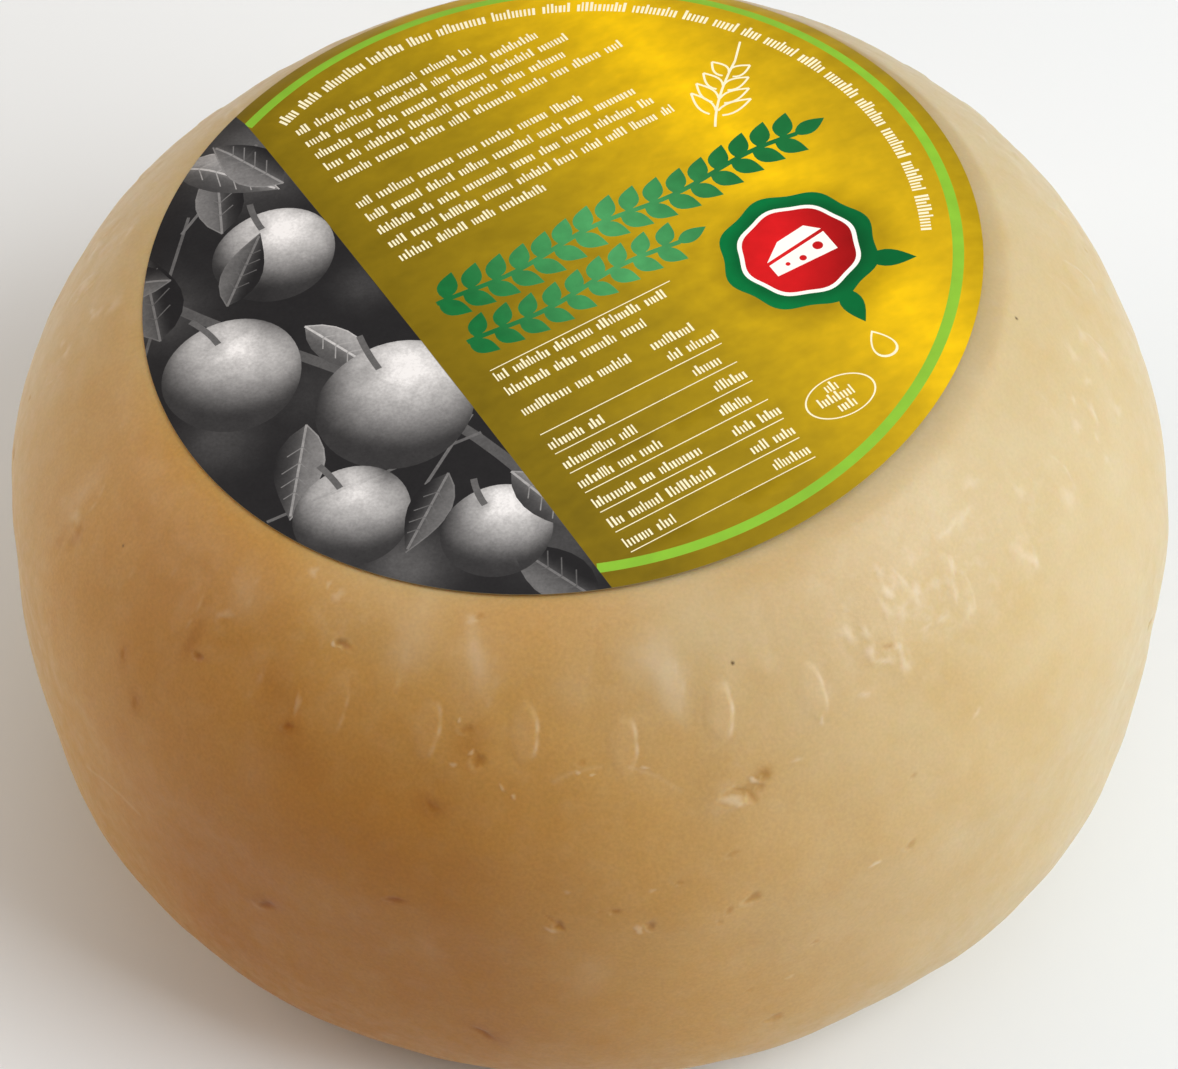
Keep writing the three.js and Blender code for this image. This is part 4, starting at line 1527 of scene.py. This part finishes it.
class StageSettings(bpy.types.PropertyGroup):
    """The floor, the lights and the camera"""

    floor_size: length_property("Floor size", "Length of the floor's sides", 8.0)
    floor_tint: tint_property("Floor", "Colour of the floor", 238, 243, 247)
    key_power: FloatProperty(name="Key power", description="Power of the main light in watts", default=16.4)
    key_tint: tint_property("Key colour", "Colour of the main light", 255, 255, 254)
    top_power: FloatProperty(name="Top power", description="Power of the upper light in watts", default=3.4)
    fill_power: FloatProperty(name="Fill power", description="Power of the left light in watts", default=6.25)
    fill_tint: tint_property("Fill colour", "Colour of the left light", 255, 233, 212)
    sky_strength: FloatProperty(name="Sky strength", description="Even light from all round", default=0.22)
    sky_tint: tint_property("Sky colour", "Colour of the even light", 255, 249, 242)
    camera_rise: FloatProperty(
        name="Camera rise", description="How far above level the camera stands", default=math.radians(48), subtype="ANGLE"
    )
    camera_dip: FloatProperty(
        name="Camera dip", description="How far below the equator's middle it looks", default=math.radians(0.8), subtype="ANGLE"
    )
    camera_distance: length_property("Camera distance", "From the middle of the equator", 0.66)
    lens: FloatProperty(name="Lens", description="Focal length in mm on a 36 mm sensor", default=140.76)


def add_piece(name, mesh, node, materials):
    """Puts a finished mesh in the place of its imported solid."""
    piece = bpy.data.objects.new(name, mesh)
    bpy.context.scene.collection.objects.link(piece)
    for material in materials:
        mesh.materials.append(material)
    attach(piece, "root")
    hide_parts(node)
    return piece


def add_light(name, bearing, rise, distance, size, power, tint):
    """A square soft light that faces the middle of the wheel."""
    lamp = bpy.data.lights.new(name, "AREA")
    lamp.shape = "SQUARE"
    lamp.size = size
    lamp.energy = power
    lamp.color = tint
    light = bpy.data.objects.new(name, lamp)
    bpy.context.scene.collection.objects.link(light)
    turn = math.radians(bearing)
    tilt = math.radians(rise)
    away = Vector((math.cos(turn) * math.cos(tilt), math.sin(turn) * math.cos(tilt), math.sin(tilt)))
    light.location = Vector((AXIS_X, AXIS_Y, EQUATOR_HEIGHT)) + away * distance
    light.rotation_euler = away.to_track_quat("Z", "Y").to_euler()
    return light


class CHEESE_OT_make_rind(bpy.types.Operator):
    """Make the wheel's rind with its lumps, basket prints and pits"""

    bl_idname = "cheese.make_rind"
    bl_label = "Make rind"

    def execute(self, context):
        rind = context.scene.cheese_rind
        add_piece("cheese_rind", make_rind_mesh(rind), "cheese", [rind_material(rind)])
        return {"FINISHED"}


class CHEESE_OT_make_label(bpy.types.Operator):
    """Make the printed label draped on the top face"""

    bl_idname = "cheese.make_label"
    bl_label = "Make label"

    def execute(self, context):
        label = context.scene.cheese_label
        inks = {
            "gold": gold_material(label),
            "picture": picture_material(label),
            "ring": ink_material("label_ring", label.ring_green, 0.06, 0.34),
            "title": title_material(label),
            "print": ink_material("label_fine_print", label.print_white, 0.05, 0.38),
            "badge_green": badge_material(
                "label_badge_green", label.badge_green, label, 0.35, 0.15, 0.175, 0.7
            ),
            "badge_white": ink_material("label_badge_white", label.badge_white, 0.03, 0.36),
            "badge_red": badge_material("label_badge_red", label.badge_red, label, 1, 0.05, 0.14, 1.15),
            "paper": ink_material("label_paper", label.paper_edge_shade, 0.05, 0.6),
        }
        mesh = make_label_mesh(label, list(inks))
        add_piece("label_print", mesh, "label", inks.values())
        return {"FINISHED"}


class CHEESE_OT_set_stage(bpy.types.Operator):
    """Set the floor, the lights and the camera"""

    bl_idname = "cheese.set_stage"
    bl_label = "Set stage"

    def execute(self, context):
        stage = context.scene.cheese_stage
        half = stage.floor_size / 2
        mesh = bpy.data.meshes.new("floor")
        corners = [(-half, -half, 0), (half, -half, 0), (half, half, 0), (-half, half, 0)]
        mesh.from_pydata(corners, [], [(0, 1, 2, 3)])
        mesh.materials.append(floor_material(stage))
        floor = bpy.data.objects.new("floor", mesh)
        context.scene.collection.objects.link(floor)
        add_light("key", -20, 40, 1.3, 0.9, stage.key_power, stage.key_tint)
        add_light("top", 60, 75, 1.3, 1.2, stage.top_power, stage.key_tint)
        add_light("fill", 172, 26, 1.2, 0.8, stage.fill_power, stage.fill_tint)
        world = bpy.data.worlds.new("studio")
        world.use_nodes = True
        sky = world.node_tree.nodes["Background"].inputs
        sky["Color"].default_value = (*stage.sky_tint, 1)
        sky["Strength"].default_value = stage.sky_strength
        context.scene.world = world
        context.scene.view_settings.view_transform = "Standard"
        place_camera(context.scene, stage)
        return {"FINISHED"}


def place_camera(scene, stage):
    """The camera stands in front of the wheel and looks down on it."""
    lens = bpy.data.cameras.new("camera")
    lens.lens = stage.lens
    lens.sensor_width = 36
    camera = bpy.data.objects.new("camera", lens)
    scene.collection.objects.link(camera)
    away = Vector((0, -math.cos(stage.camera_rise), math.sin(stage.camera_rise)))
    camera.location = Vector((AXIS_X, AXIS_Y, EQUATOR_HEIGHT)) + away * stage.camera_distance
    camera.rotation_euler = (math.pi / 2 - stage.camera_rise - stage.camera_dip, 0, 0)
    scene.camera = camera


class CHEESE_PT_wheel(bpy.types.Panel):
    """The wheel's pieces and their settings"""

    bl_idname = "CHEESE_PT_wheel"
    bl_label = "Cheese wheel"
    bl_space_type = "VIEW_3D"
    bl_region_type = "UI"
    bl_category = "Cheese wheel"

    def draw(self, context):
        for operator, settings in (
            (CHEESE_OT_set_stage, context.scene.cheese_stage),
            (CHEESE_OT_make_rind, context.scene.cheese_rind),
            (CHEESE_OT_make_label, context.scene.cheese_label),
        ):
            box = self.layout.box()
            box.operator(operator.bl_idname)
            for name in settings.__annotations__:
                box.prop(settings, name)


CLASSES = (
    RindSettings,
    LabelSettings,
    StageSettings,
    CHEESE_OT_make_rind,
    CHEESE_OT_make_label,
    CHEESE_OT_set_stage,
    CHEESE_PT_wheel,
)


def register():
    for kind in CLASSES:
        bpy.utils.register_class(kind)
    bpy.types.Scene.cheese_rind = PointerProperty(type=RindSettings)
    bpy.types.Scene.cheese_label = PointerProperty(type=LabelSettings)
    bpy.types.Scene.cheese_stage = PointerProperty(type=StageSettings)


def unregister():
    del bpy.types.Scene.cheese_stage
    del bpy.types.Scene.cheese_label
    del bpy.types.Scene.cheese_rind
    for kind in reversed(CLASSES):
        bpy.utils.unregister_class(kind)


def main():
    register()
    bpy.ops.cheese.set_stage()
    bpy.ops.cheese.make_rind()
    bpy.ops.cheese.make_label()


if __name__ == "__main__":
    main()
